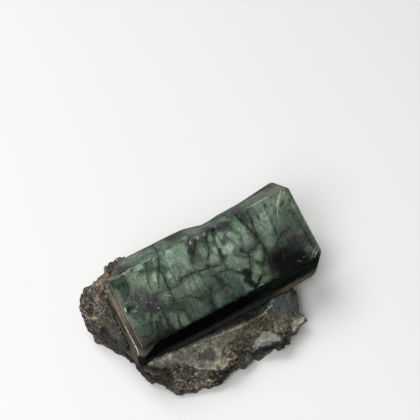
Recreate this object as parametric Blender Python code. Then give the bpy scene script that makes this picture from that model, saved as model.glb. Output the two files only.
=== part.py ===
"""Emerald in matrix: a polished six-sided emerald lying in a broken slab of dark mica schist.

Frame: metres, +Z up. The slab's flat underside is the plane Z = 0, with the origin near its middle.
The crystal lies along X, its cut end at -X and its worn, overhanging end at +X. Its broad polished face
looks forwards and up, towards -Y and +Z. The sizes below are in millimetres and degrees.
"""

import math

import bmesh
import bpy
from mathutils import Vector, noise

MM = 0.001

# The crystal is an equiangular hexagonal prism. Each width is that of one long face, across the crystal.
CRYSTAL_LENGTH = 99.8
CUT_END_X = -44.1
RIDGE_Y = 11.0  # the ridge is the long edge between the broad face and the top face
RIDGE_Z = 44.0
BROAD_FACE_RISE = 61.4  # how far the broad face's outward normal rises from -Y
HEXAGON_TURN = 60.0
BROAD_FACE = 33.5
FRONT_FACE = 14.7
UNDER_FRONT_FACE = 16.0
TOP_FACE = 13.5
UNDER_BACK_FACE = BROAD_FACE + TOP_FACE - UNDER_FRONT_FACE
BACK_FACE = UNDER_FRONT_FACE + FRONT_FACE - TOP_FACE
FACE_WIDTHS = (BROAD_FACE, FRONT_FACE, UNDER_FRONT_FACE, UNDER_BACK_FACE, BACK_FACE, TOP_FACE)

# Each long edge in turn, from the ridge: how rounded it is, and how rounded the worn end is beside it.
EDGE_RADII = (1.0, 2.2, 2.0, 2.0, 2.0, 1.8)
WORN_END_RADII = (4.2, 6.0, 8.0, 8.5, 5.5, 3.8)
WORN_END_INSETS = (0.0, 0.4, 1.2, 2.6, 4.5, 7.0, 10.0)
WORN_END_DOME = 0.8
WORN_END_LEAD = 1.5  # between the last full cross-section and where the rounding begins
CUT_END_BEVEL = 2.6  # the band of mica schist polished at a slant round the cut end
CUT_END_EDGE = 0.3
LEAST_RADIUS = 0.15
ARC_STEPS = 3
FACE_STEPS = 4
BODY_STEPS = 18

# A natural crystal isn't quite true: it swells towards its worn end, away from the broad face's lower edge,
# and has low waves along it. Its top back edge is worn down in a short dip and a long shallow one.
SWELL = 0.052
SWELL_START = -25.0
WAVE = 0.25
WAVE_LENGTH = 26.0
DIPS = ((12.5, 1.9, 6.5), (29.0, 2.0, 17.0))  # (x of the middle, depth, half-length)
DIP_HALF_WIDTH = 7.8
BREAK_X = -41.5  # where the break across the cut end's back corner meets the ridge
BREAK_TURN = 45.0

# Clearance between the crystal and the pocket that it grew in.
GAP = 0.3

# The slab all the way round, anticlockwise from its back left corner. Each row is one place: its widest
# point, its rim, and where its top runs into the crystal, just inside the crystal's faces.
SLAB = (
    ((-38.5, 35.5, 13.0), (-32.4, 26.0, 33.6), (-31.5, 18.5, 38.5)),
    ((-42.5, 34.5, 13.0), (-38.0, 24.4, 28.4), (-35.5, 15.6, 38.5)),
    ((-46.0, 33.0, 12.0), (-42.5, 25.0, 26.0), (-38.5, 12.5, 41.5)),
    ((-49.0, 30.5, 12.0), (-45.8, 23.5, 22.5), (-41.5, 9.5, 41.5)),
    ((-51.0, 27.0, 12.0), (-48.0, 20.0, 21.0), (-43.2, 7.0, 41.5)),
    ((-52.5, 22.5, 12.0), (-49.5, 16.5, 20.0), (-43.2, 4.0, 40.0)),
    ((-53.8, 18.0, 11.0), (-50.2, 12.5, 18.5), (-43.2, 1.0, 38.2)),
    ((-53.4, 13.0, 9.0), (-49.6, 8.5, 17.0), (-43.2, -2.0, 36.4)),
    ((-50.7, 8.0, 7.0), (-48.6, 4.0, 16.5), (-43.2, -5.0, 34.6)),
    ((-48.5, 3.0, 5.0), (-47.0, 0.0, 16.0), (-43.2, -8.0, 32.6)),
    ((-46.5, -1.7, 3.5), (-45.8, -4.7, 15.8), (-43.2, -11.0, 30.8)),
    ((-44.9, -5.4, 3.0), (-45.1, -9.1, 16.2), (-43.2, -13.5, 28.6)),
    ((-43.8, -10.0, 3.0), (-44.6, -14.7, 16.5), (-42.0, -15.5, 25.0)),
    ((-43.6, -15.4, 3.0), (-43.6, -20.1, 16.6), (-39.0, -15.5, 22.0)),
    ((-42.0, -20.9, 3.2), (-41.2, -24.0, 16.4), (-35.0, -15.5, 20.5)),
    ((-39.4, -26.1, 3.2), (-37.3, -25.1, 15.6), (-31.0, -16.0, 19.4)),
    ((-36.4, -30.6, 3.2), (-32.5, -23.6, 15.3), (-27.5, -16.5, 18.4)),
    ((-32.6, -33.9, 3.2), (-28.2, -24.9, 14.6), (-23.0, -16.5, 17.2)),
    ((-27.0, -36.0, 3.0), (-23.9, -27.9, 13.5), (-18.5, -16.5, 16.0)),
    ((-22.0, -37.3, 3.0), (-19.7, -31.7, 12.6), (-14.0, -16.5, 14.8)),
    ((-16.5, -37.6, 3.0), (-15.5, -34.0, 12.0), (-9.5, -16.5, 14.8)),
    ((-10.5, -37.8, 3.0), (-10.0, -34.3, 12.0), (-5.0, -16.5, 13.8)),
    ((-4.5, -37.9, 3.0), (-4.0, -33.6, 12.0), (0.0, -16.5, 12.8)),
    ((1.5, -37.8, 3.5), (1.5, -33.3, 12.0), (5.0, -16.5, 12.0)),
    ((7.5, -37.5, 4.0), (7.0, -34.0, 12.0), (10.0, -16.5, 11.6)),
    ((13.0, -38.3, 5.0), (12.5, -36.3, 11.5), (14.5, -16.5, 11.6)),
    ((18.5, -39.8, 6.5), (17.5, -38.0, 10.5), (18.5, -16.5, 11.6)),
    ((24.0, -38.0, 7.0), (22.5, -36.0, 10.5), (22.0, -16.5, 12.0)),
    ((28.6, -34.6, 7.5), (27.4, -32.8, 10.6), (25.5, -16.5, 12.6)),
    ((33.6, -29.8, 8.0), (31.8, -28.2, 10.6), (28.5, -16.5, 13.4)),
    ((36.2, -25.4, 8.0), (33.8, -24.0, 11.6), (31.0, -16.0, 14.0)),
    ((39.6, -19.4, 8.0), (36.8, -18.5, 12.0), (33.0, -14.0, 14.0)),
    ((40.5, -12.0, 7.5), (38.0, -11.5, 12.0), (34.0, -9.0, 13.0)),
    ((39.5, -3.0, 8.0), (37.0, -3.0, 13.0), (33.5, -1.0, 14.0)),
    ((38.0, 6.0, 9.0), (35.5, 5.5, 15.0), (32.5, 6.0, 16.5)),
    ((35.5, 15.0, 10.0), (33.0, 14.0, 17.0), (30.0, 11.0, 18.5)),
    ((30.5, 23.5, 11.0), (28.0, 21.5, 19.0), (26.0, 17.0, 20.5)),
    ((22.0, 29.5, 11.0), (20.0, 26.5, 20.0), (18.0, 20.5, 22.0)),
    ((11.0, 33.5, 11.5), (10.0, 28.5, 20.5), (8.0, 20.5, 23.0)),
    ((-2.0, 35.0, 12.0), (-2.0, 29.0, 20.5), (-3.0, 20.5, 24.0)),
    ((-14.0, 36.0, 12.0), (-13.0, 29.0, 21.0), (-13.0, 20.5, 25.0)),
    ((-24.0, 36.5, 12.0), (-22.5, 28.0, 23.0), (-21.0, 20.5, 27.0)),
    ((-32.0, 36.5, 12.5), (-26.8, 27.0, 31.0), (-25.5, 20.5, 34.0)),
)
FOOT_INSET = 1.5  # how far inside the widest point the slab was sawn flat
FOOT_SMOOTHING = 0.03

# The schist splits in thin layers, so the slab's side is a stack of steps.
LAYERS = 4
LAYER_REACH = 2.2
LAYER_WAVES = 8.0
LAYER_SEED = 7.7
LAYER_EDGES = (0.06, 0.5, 0.94)  # where a layer's own rings of points lie, from its underside to its top
STEPS_AROUND = 148
LEDGE_STEPS = 7
LEDGE_SAG = 0.6

# Broken stone: (size of the split faces, how far they stand out), and then the grain on them. Each face
# has a tilt and a step of its own, and is flatter than it is wide.
SPLITS = ((9.0, 1.5), (4.5, 0.8))
SPLIT_FLATNESS = 1.7
SPLIT_TILT = 2.0
SPLIT_STEP = 0.8
TILT_SEED = 53.0
STEP_SEED = 31.0
GRAIN_SIZE = 2.4
GRAIN = 0.4
LEDGE_SMOOTHNESS = 0.55
FOOT_DEPTH = 2.0  # the slab's foot goes this far below Z = 0 until it is sawn flat
EVEN_SIZE = 0.7
KEPT_SHARE = 0.062  # of the even mesh's faces, once they are thinned out where the stone is flat
SNAP = 0.02
CREASE = 30.0  # edges sharper than this aren't shaded smooth

# Gaps and chips in the broken stone, and a sharp spur of it at the right. Each one is the convex block
# between its corner points.
CREVICE_LEFT = (
    (-52.0, -5.0, 10.2),
    (-50.0, -4.5, 7.6),
    (-43.0, -5.0, 9.6),
    (-47.5, -22.0, 9.6),
    (-46.5, -21.0, 5.8),
    (-37.8, -15.6, 9.2),
    (-38.4, -15.4, 7.4),
)
CREVICE_FRONT = (
    (-48.0, -19.0, 9.6),
    (-47.0, -19.5, 5.8),
    (-37.6, -13.8, 9.2),
    (-37.6, -14.2, 7.6),
    (-37.0, -32.5, 10.0),
    (-37.0, -32.5, 6.4),
    (-30.6, -20.5, 9.2),
    (-31.2, -20.5, 7.8),
)
UNDERCUT = (
    (1.0, -42.0, 10.2),
    (1.0, -42.0, 7.8),
    (3.0, -34.2, 9.6),
    (9.5, -43.0, 10.4),
    (10.0, -43.0, 4.2),
    (11.5, -32.5, 8.6),
    (20.0, -44.0, 9.4),
    (20.0, -44.0, 6.0),
    (17.5, -35.6, 8.4),
)
CHIP = (
    (6.0, -36.5, 12.2),
    (20.5, -41.0, 9.0),
    (22.0, -37.0, 11.4),
    (11.0, -30.5, 13.0),
    (6.0, -38.0, 18.0),
    (20.5, -42.0, 18.0),
    (22.0, -36.0, 18.0),
    (11.0, -29.0, 18.0),
)
SPUR = (
    (19.6, -37.6, 9.8),
    (20.6, -38.8, 5.6),
    (27.0, -39.2, 6.0),
    (36.6, -33.3, 7.6),
    (35.6, -33.3, 8.7),
    (30.6, -32.2, 5.0),
    (26.6, -27.6, 5.6),
    (26.6, -29.6, 10.4),
    (22.0, -33.4, 11.8),
)
BLOCKS = (
    ("spur", SPUR, "UNION"),
    ("crevice_left", CREVICE_LEFT, "DIFFERENCE"),
    ("crevice_front", CREVICE_FRONT, "DIFFERENCE"),
    ("undercut", UNDERCUT, "DIFFERENCE"),
    ("chip", CHIP, "DIFFERENCE"),
)

# Scooped hollows: (name, centre, half-lengths along X, Y and Z, turn about Z).
HOLLOWS = (
    ("scallop", (-14.5, -29.5, 15.6), (9.5, 6.0, 4.6), 12.0),
    ("pit", (-51.0, 7.2, 9.6), (2.6, 3.4, 1.7), 25.0),
    ("front_hollow", (-27.0, -36.0, 6.4), (4.5, 3.0, 2.4), -25.0),
)


def hexagon():
    """The crystal's six corners as (y, z), and the angles of the faces that begin there, from the ridge."""
    corner = Vector((RIDGE_Y, RIDGE_Z))
    rise = math.radians(BROAD_FACE_RISE)
    corners, rises = [], []
    for width in FACE_WIDTHS:
        corners.append(corner.copy())
        rises.append(rise)
        corner += width * Vector((-math.sin(rise), -math.cos(rise)))
        rise -= math.radians(HEXAGON_TURN)
    return corners, rises


def outward(rise):
    """The (y, z) direction of a face whose normal rises by this angle from -Y."""
    return Vector((-math.cos(rise), math.sin(rise)))


def rounded_hexagon(inset):
    """The cross-section moved inwards by inset: (y, z, rounding of the worn end) all the way round."""
    half_turn = math.radians(HEXAGON_TURN) / 2
    points = []
    for corner, rise, radius, end_radius in zip(*hexagon(), EDGE_RADII, WORN_END_RADII):
        deep = max(radius, inset + LEAST_RADIUS)
        centre = corner - deep / math.cos(half_turn) * outward(rise + half_turn)
        for step in range(ARC_STEPS + 1):
            angle = rise + 2 * half_turn * (1 - step / ARC_STEPS)
            points.append(Vector((*(centre + (deep - inset) * outward(angle)), end_radius)))
    return with_face_points(points)


def with_face_points(points):
    """The same outline with the long stretches between two arcs divided, so that faces can be uneven."""
    divided = []
    for index, point in enumerate(points):
        divided.append(point)
        if index % (ARC_STEPS + 1) == ARC_STEPS:
            after = points[(index + 1) % len(points)]
            divided += [point.lerp(after, step / FACE_STEPS) for step in range(1, FACE_STEPS)]
    return divided


def crystal_sections(grow):
    """Every cross-section from the cut end to the worn end, as lists of (x, y, z)."""
    first, last = CUT_END_X - grow, CUT_END_X + CRYSTAL_LENGTH + grow
    body_start = first + CUT_END_BEVEL + CUT_END_EDGE
    body_end = last - max(WORN_END_RADII) - WORN_END_LEAD
    stations = [(first, CUT_END_BEVEL), (body_start - 2 * CUT_END_EDGE, CUT_END_EDGE / 2)]
    for step in range(BODY_STEPS + 1):
        stations.append((body_start + (body_end - body_start) * step / BODY_STEPS, 0.0))
    sections = []
    for x, inset in stations:
        sections.append([Vector((x, y, z)) for y, z, _ in rounded_hexagon(inset - grow)])
    for inset in WORN_END_INSETS:
        section = rounded_hexagon(inset - grow)
        sections.append([Vector((last - end_depth(radius, inset), y, z)) for y, z, radius in section])
    return sections


def end_depth(radius, inset):
    """How far the worn end's surface lies behind its tip, where it has come this far in from the side."""
    left = max(radius - inset, 0.0)
    return radius - math.sqrt(radius**2 - left**2)


def worn(point):
    """A point of the crystal, moved by its swelling, its low waves and the dips in its top back edge."""
    wave = WAVE * noise.noise_vector(point / WAVE_LENGTH)
    corners, rises = hexagon()
    share = max(0.0, (point.x - SWELL_START) / (CUT_END_X + CRYSTAL_LENGTH - SWELL_START))
    swell = SWELL * share**2 * (Vector((point.y, point.z)) - corners[1])
    away = (Vector((point.y, point.z)) - corners[-1]).length / DIP_HALF_WIDTH
    dip = 0.0
    for middle_x, depth, half_length in DIPS:
        along = (point.x - middle_x) / half_length
        dip += depth * math.exp(-along * along - away * away)
    inwards = -outward(rises[-1])
    move = swell + dip * inwards
    return point + Vector((0.0, wave.y + move.x, wave.z + move.y))


def skin(bm, rings):
    """Quads between each ring of vertices and the next."""
    for lower, upper in zip(rings, rings[1:]):
        count = len(lower)
        for index in range(count):
            after = (index + 1) % count
            bm.faces.new((lower[index], lower[after], upper[after], upper[index]))


def fan(bm, ring, centre):
    """Triangles from a ring to one point."""
    tip = bm.verts.new(centre * MM)
    for index, vertex in enumerate(ring):
        bm.faces.new((vertex, ring[(index + 1) % len(ring)], tip))


def middle(ring):
    """The mean place of a ring of vertices, in millimetres."""
    return sum((vertex.co for vertex in ring), Vector()) / len(ring) / MM


def break_off_corner(bm, grow):
    """Cuts the crystal's back corner away at the cut end, and closes the cut."""
    turn = math.radians(BREAK_TURN)
    normal = Vector((-math.sin(turn), math.cos(turn), 0.0))
    through = Vector((BREAK_X, RIDGE_Y, 0.0)) + grow * normal
    everything = bm.verts[:] + bm.edges[:] + bm.faces[:]
    made = bmesh.ops.bisect_plane(
        bm, geom=everything, plane_co=through * MM, plane_no=normal, clear_outer=True, dist=1e-7
    )
    edges = [item for item in made["geom_cut"] if isinstance(item, bmesh.types.BMEdge)]
    bmesh.ops.contextual_create(bm, geom=edges)


def crystal_mesh(name, grow=0.0):
    """The crystal's closed mesh, with every face moved outwards by grow."""
    bm = bmesh.new()
    rings = []
    for section in crystal_sections(grow):
        rings.append([bm.verts.new(worn(point) * MM) for point in section])
    skin(bm, rings)
    fan(bm, rings[0], middle(rings[0]))
    fan(bm, rings[-1], middle(rings[-1]) + Vector((WORN_END_DOME, 0.0, 0.0)))
    break_off_corner(bm, grow)
    return finished(bm, name)


def finished(bm, name):
    """A mesh from bm, with its faces pointing outwards."""
    bmesh.ops.triangulate(bm, faces=[face for face in bm.faces if len(face.verts) > 4])
    bmesh.ops.recalc_face_normals(bm, faces=bm.faces)
    mesh = bpy.data.meshes.new(name)
    bm.to_mesh(mesh)
    bm.free()
    mesh.shade_smooth()
    mesh.set_sharp_from_angle(angle=math.radians(CREASE))
    return mesh


def slab_points(share):
    """The slab's widest point, rim and contact at this share of the way round, on smooth curves."""
    place = share * len(SLAB)
    index = int(place)
    t = place - index
    found = []
    for level in range(3):
        a, b, c, d = (Vector(SLAB[(index + offset) % len(SLAB)][level]) for offset in (-1, 0, 1, 2))
        curve = 2 * b + t * (c - a) + t * t * (2 * a - 5 * b + 4 * c - d) + t**3 * (3 * b - a - 3 * c + d)
        found.append(0.5 * curve)
    return found


def foot_point(share):
    """A point of the edge of the slab's flat underside, which is plainer than its widest outline."""
    near = [slab_points((share + step * FOOT_SMOOTHING) % 1.0)[0] for step in (-1, -0.5, 0, 0.5, 1)]
    mean = sum(near, Vector()) / len(near)
    flat = Vector((mean.x, mean.y, 0.0))
    return flat - FOOT_INSET * flat.normalized()


def side_point(share, height, layer):
    """A point of the slab's side, moved in or out with the layer that it belongs to."""
    foot = foot_point(share)
    widest, rim, _ = slab_points(share)
    height_share = widest.z / rim.z
    if height < height_share:
        point = foot.lerp(widest, height / height_share)
    else:
        point = widest.lerp(rim, (height - height_share) / (1 - height_share))
    angle = share * math.tau
    around = Vector((math.cos(angle), math.sin(angle), 0.0)) * LAYER_WAVES / math.pi
    reach = LAYER_REACH * noise.noise(around + Vector((0.0, 0.0, LAYER_SEED * layer)))
    return point + reach * Vector((point.x, point.y, 0.0)).normalized()


def slab_rings():
    """The slab's rings of points from the foot, over the rim and in to the crystal."""
    shares = [index / STEPS_AROUND for index in range(STEPS_AROUND)]
    rings = [[foot_point(share) - Vector((0.0, 0.0, FOOT_DEPTH)) for share in shares]]
    for layer in range(LAYERS):
        for height in LAYER_EDGES:
            rings.append([side_point(share, (layer + height) / LAYERS, layer) for share in shares])
    for step in range(1, LEDGE_STEPS + 1):
        inward = step / LEDGE_STEPS
        sag = Vector((0.0, 0.0, LEDGE_SAG * math.sin(math.pi * inward)))
        ring = []
        for share in shares:
            _, rim, contact = slab_points(share)
            ring.append(rim.lerp(contact, inward) - sag)
        rings.append(ring)
    return rings


def plain_slab_mesh(name):
    """The slab's closed mesh before its faces are split, with a foot that reaches below Z = 0."""
    bm = bmesh.new()
    rings = [[bm.verts.new(point * MM) for point in ring] for ring in slab_rings()]
    skin(bm, rings)
    fan(bm, rings[0], Vector((0.0, 0.0, -FOOT_DEPTH)))
    fan(bm, rings[-1], middle(rings[-1]))
    return finished(bm, name)


def split_height(point):
    """How far the broken stone stands out at this point, in split faces of each size and in grain."""
    out = GRAIN * noise.noise(point / GRAIN_SIZE)
    for size, height in SPLITS:
        place = Vector((point.x, point.y, SPLIT_FLATNESS * point.z)) / size
        centre = noise.voronoi(place)[1][0]
        tilt = noise.cell_vector(centre * TILT_SEED) - Vector((0.5, 0.5, 0.5))
        step = noise.cell(centre * STEP_SEED) - 0.5
        out += height * (SPLIT_TILT * tilt.dot(place - centre) + SPLIT_STEP * step)
    return out


def even_out(source):
    """Gives the object's shape an even mesh, with no face passing through another."""
    remesh = source.modifiers.new("even", "REMESH")
    remesh.mode = "VOXEL"
    remesh.voxel_size = EVEN_SIZE * MM


def evaluated(source):
    """The object's mesh with its modifiers applied."""
    bpy.context.view_layer.update()
    graph = bpy.context.evaluated_depsgraph_get()
    return bpy.data.meshes.new_from_object(source.evaluated_get(graph))


def split_faces(mesh):
    """Breaks the mesh's smooth sides into split faces. The ledges on top are smoother than the sides."""
    moves = []
    for vertex in mesh.vertices:
        upward = max(vertex.normal.z, 0.0) ** 2
        roughness = 1.0 - LEDGE_SMOOTHNESS * upward
        moves.append(vertex.normal * roughness * split_height(vertex.co / MM) * MM)
    for vertex, move in zip(mesh.vertices, moves):
        vertex.co += move
    return mesh


def drop_crumbs(bm):
    """Keeps the largest piece only. Pieces that meet at no more than a corner are separate."""
    left = set(bm.faces)
    pieces = []
    while left:
        piece, reached = [], [left.pop()]
        while reached:
            face = reached.pop()
            piece.append(face)
            near = {other for edge in face.edges for other in edge.link_faces} & left
            left -= near
            reached += near
        pieces.append(piece)
    pieces.sort(key=len)
    bmesh.ops.delete(bm, geom=[face for piece in pieces[:-1] for face in piece], context="FACES")


def sawn_flat(mesh, name):
    """The mesh cut off at Z = 0."""
    bm = bmesh.new()
    bm.from_mesh(mesh)
    drop_crumbs(bm)
    everything = bm.verts[:] + bm.edges[:] + bm.faces[:]
    base, up = (0.0, 0.0, 0.0), (0.0, 0.0, 1.0)
    made = bmesh.ops.bisect_plane(
        bm, geom=everything, plane_co=base, plane_no=up, clear_inner=True, dist=SNAP * MM
    )
    for vertex in bm.verts:
        if abs(vertex.co.z) < 2 * SNAP * MM:
            vertex.co.z = 0.0
    edges = [item for item in made["geom_cut"] if isinstance(item, bmesh.types.BMEdge)]
    bmesh.ops.holes_fill(bm, edges=edges)
    return finished(bm, name)


def slab_mesh(name):
    """The slab's closed mesh, with the crystal's pocket cut out of it."""
    plain = add("plain_slab", plain_slab_mesh("plain_slab"))
    helpers = [plain]
    for block, corners, operation in BLOCKS:
        helpers.append(combine(plain, add(block, block_mesh(block, corners)), operation))
    for hollow, centre, half_lengths, turn in HOLLOWS:
        helpers.append(combine(plain, add(hollow, hollow_mesh(hollow, centre, half_lengths, turn))))
    even_out(plain)
    split = add("split_slab", split_faces(evaluated(plain)))
    even_out(split)
    split.modifiers.new("fewer", "DECIMATE").ratio = KEPT_SHARE
    sawn = add("sawn_slab", sawn_flat(evaluated(split), "sawn_slab"))
    helpers += [split, sawn, combine(sawn, add("crystal_pocket", crystal_mesh("crystal_pocket", GAP)))]
    bm = bmesh.new()
    bm.from_mesh(evaluated(sawn))
    drop_crumbs(bm)
    for helper in helpers:
        bpy.data.objects.remove(helper)
    return finished(bm, name)


def block_mesh(name, corners):
    """The convex block between these corner points."""
    bm = bmesh.new()
    for corner in corners:
        bm.verts.new(Vector(corner) * MM)
    hull = bmesh.ops.convex_hull(bm, input=bm.verts[:])
    spare = [item for item in hull["geom_interior"] if isinstance(item, bmesh.types.BMVert)]
    bmesh.ops.delete(bm, geom=spare, context="VERTS")
    return finished(bm, name)


def hollow_mesh(name, centre, half_lengths, turn):
    """An egg-shaped scoop."""
    bm = bmesh.new()
    bmesh.ops.create_icosphere(bm, subdivisions=2, radius=1.0)
    cosine, sine = math.cos(math.radians(turn)), math.sin(math.radians(turn))
    for vertex in bm.verts:
        x, y, z = (part * half for part, half in zip(vertex.co, half_lengths))
        vertex.co = (Vector(centre) + Vector((x * cosine - y * sine, x * sine + y * cosine, z))) * MM
    return finished(bm, name)


def material(name, colour, roughness):
    """A plain stone finish."""
    made = bpy.data.materials.new(name)
    made.use_nodes = True
    shader = made.node_tree.nodes["Principled BSDF"]
    shader.inputs["Base Color"].default_value = (*colour, 1.0)
    shader.inputs["Roughness"].default_value = roughness
    shader.inputs["Metallic"].default_value = 0.0
    made.diffuse_color = (*colour, 1.0)
    return made


def add(name, mesh, finish=None):
    """An object of this mesh, in the scene."""
    made = bpy.data.objects.new(name, mesh)
    bpy.context.scene.collection.objects.link(made)
    if finish:
        mesh.materials.append(finish)
    return made


def combine(target, cutter, operation="DIFFERENCE"):
    """Takes the cutter's shape out of the target, or joins it on, and hides the cutter."""
    cutter.hide_render = True
    cutter.display_type = "WIRE"
    modifier = target.modifiers.new(cutter.name, "BOOLEAN")
    modifier.operation = operation
    modifier.solver = "EXACT"
    modifier.object = cutter
    return cutter


def build():
    for old in list(bpy.data.objects):
        bpy.data.objects.remove(old)
    emerald = material("emerald", (0.13, 0.21, 0.14), 0.25)
    schist = material("mica_schist", (0.07, 0.06, 0.045), 0.7)
    add("emerald_crystal", crystal_mesh("emerald_crystal"), emerald)
    add("schist_matrix", slab_mesh("schist_matrix"), schist)


build()
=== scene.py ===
"""Looks of the emerald in matrix: a cloudy, veined, polished crystal in a broken slab of dark mica schist.

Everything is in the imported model's frame: the crystal lies along X with its cut end at -X, and its broad
polished face looks towards -Y and +Z. Sizes are in millimetres and degrees, and colours are as they show
on a screen, 0 to 255. A place on the crystal's long faces is (x, girth): girth is the way round the
crystal from the ridge, positive down over the broad face and negative back over the top face.
"""

import math

import bpy
import numpy as np
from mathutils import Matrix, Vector, noise
from mathutils.bvhtree import BVHTree


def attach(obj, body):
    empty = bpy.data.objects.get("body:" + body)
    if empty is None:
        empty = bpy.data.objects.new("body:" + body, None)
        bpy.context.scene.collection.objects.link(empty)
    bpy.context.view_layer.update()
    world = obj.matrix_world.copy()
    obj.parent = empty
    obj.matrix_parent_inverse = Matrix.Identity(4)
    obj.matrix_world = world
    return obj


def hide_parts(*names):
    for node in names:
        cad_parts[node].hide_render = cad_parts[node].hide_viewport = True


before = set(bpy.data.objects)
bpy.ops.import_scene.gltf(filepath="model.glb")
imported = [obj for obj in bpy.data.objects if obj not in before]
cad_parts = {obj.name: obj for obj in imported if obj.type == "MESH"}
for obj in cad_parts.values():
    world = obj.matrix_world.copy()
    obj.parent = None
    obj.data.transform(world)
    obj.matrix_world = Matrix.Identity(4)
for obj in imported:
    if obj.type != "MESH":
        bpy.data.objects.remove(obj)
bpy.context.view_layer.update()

MM = 0.001

# The crystal's cross-section and its swelling towards the worn end, as the part has them.
RIDGE = (11.0, 44.0)
BROAD_FACE_RISE = 61.4
HEXAGON_TURN = 60.0
FACE_WIDTHS = (33.5, 14.7, 16.0, 31.0, 17.2, 13.5)
FRONT_EDGE = FACE_WIDTHS[0]  # the girth where the broad face ends and the dark wall below it starts
CUT_END_X = -44.1
WORN_END_X = 55.7
SWELL = 0.052
SWELL_START = -25.0

# The slanted band round the cut end, and the pale line along it, which is a painted highlight.
BAND_EDGE_X = -41.4
RIM_HIGHLIGHT_LINE = 2.25  # how far past the band's edge the line runs
RIM_HIGHLIGHT_WIDTH = 0.22

# The patch of mica flakes near the cut end.
MICA_X = -32.5
MICA_GIRTH = 15.5
MICA_LENGTH = 6.5
MICA_WIDTH = 5.5

# Spacing of the fine meshes' points.
CRYSTAL_CELL = 0.44
MATRIX_CELL = 0.5

FAR = 5.0  # no line is looked for further than this many of its widths away
LINE_SOFTNESS = 0.7  # how many widths a line takes to fade

# The camera, and how many of the picture's pixels its focal length is.
CAMERA_PLACE = (-111.7, -180.3, 327.4)
CAMERA_TURN = 32.5
CAMERA_TILT = 50.0
FOCAL_PIXELS = 810
PICTURE_PIXELS = 420
SENSOR_WIDTH = 36.0

# Tints of the emerald.
WHITE = (205, 208, 204)
PALE = (146, 160, 146)
MINT = (124, 147, 126)
FERN = (98, 127, 103)
CELADON = (106, 123, 104)
OLIVE = (104, 117, 96)
SAGE = (106, 114, 102)
TEAL = (69, 86, 73)
DEEP = (43, 56, 46)
SLATE = (72, 74, 71)
SMOKE = (44, 46, 47)
INK = (18, 25, 21)
BLACK = (8, 9, 10)
TAN = (116, 106, 88)
TAUPE = (84, 79, 67)
UMBER = (48, 41, 31)
VEIN = (11, 15, 13)
# Pale scratched lines, and painted highlights drawn the same way.
SCRATCH_AND_HIGHLIGHT = (190, 190, 172)

# Tints of the crystal's dark wall, its band and the stone on its cut end.
GLEAM = (20, 42, 28)
WALL_GREY = (50, 53, 53)
HEM = (92, 82, 64)
BAND_DARK = (45, 43, 34)
BAND_LIGHT = (84, 82, 71)
CUT_LIGHT = (74, 71, 61)
CUT_DARK = (52, 48, 42)
CUT_GREEN = (84, 86, 66)

# Tints of the slab's stone.
DARK_GREY = (40, 39, 36)
BROWN = (56, 50, 40)
EARTH = (52, 48, 34)
DUST = (120, 108, 88)
LEDGE = (84, 82, 74)
CHALK = (138, 138, 126)
BLUE_GREY = (60, 65, 68)
MOSS = (72, 72, 50)
# Painted shade, black, for clefts, pits and the undersides of steps.
SHADE_BLACK = (13, 13, 13)
# Painted shade for the dark crevice beside the crystal.
TROUGH_SHADE = (20, 22, 23)
SPECK = (160, 146, 126)
GLINT = (218, 214, 202)

FLOOR = (0.78, 0.78, 0.77, 1)  # linear light, as the next one is
STUDIO = (1, 0.99, 0.97, 1)

# How granular a stone is.
GRITTY, LAYERED, CALM, POLISHED = 1.0, 0.6, 0.25, 0.05
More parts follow.
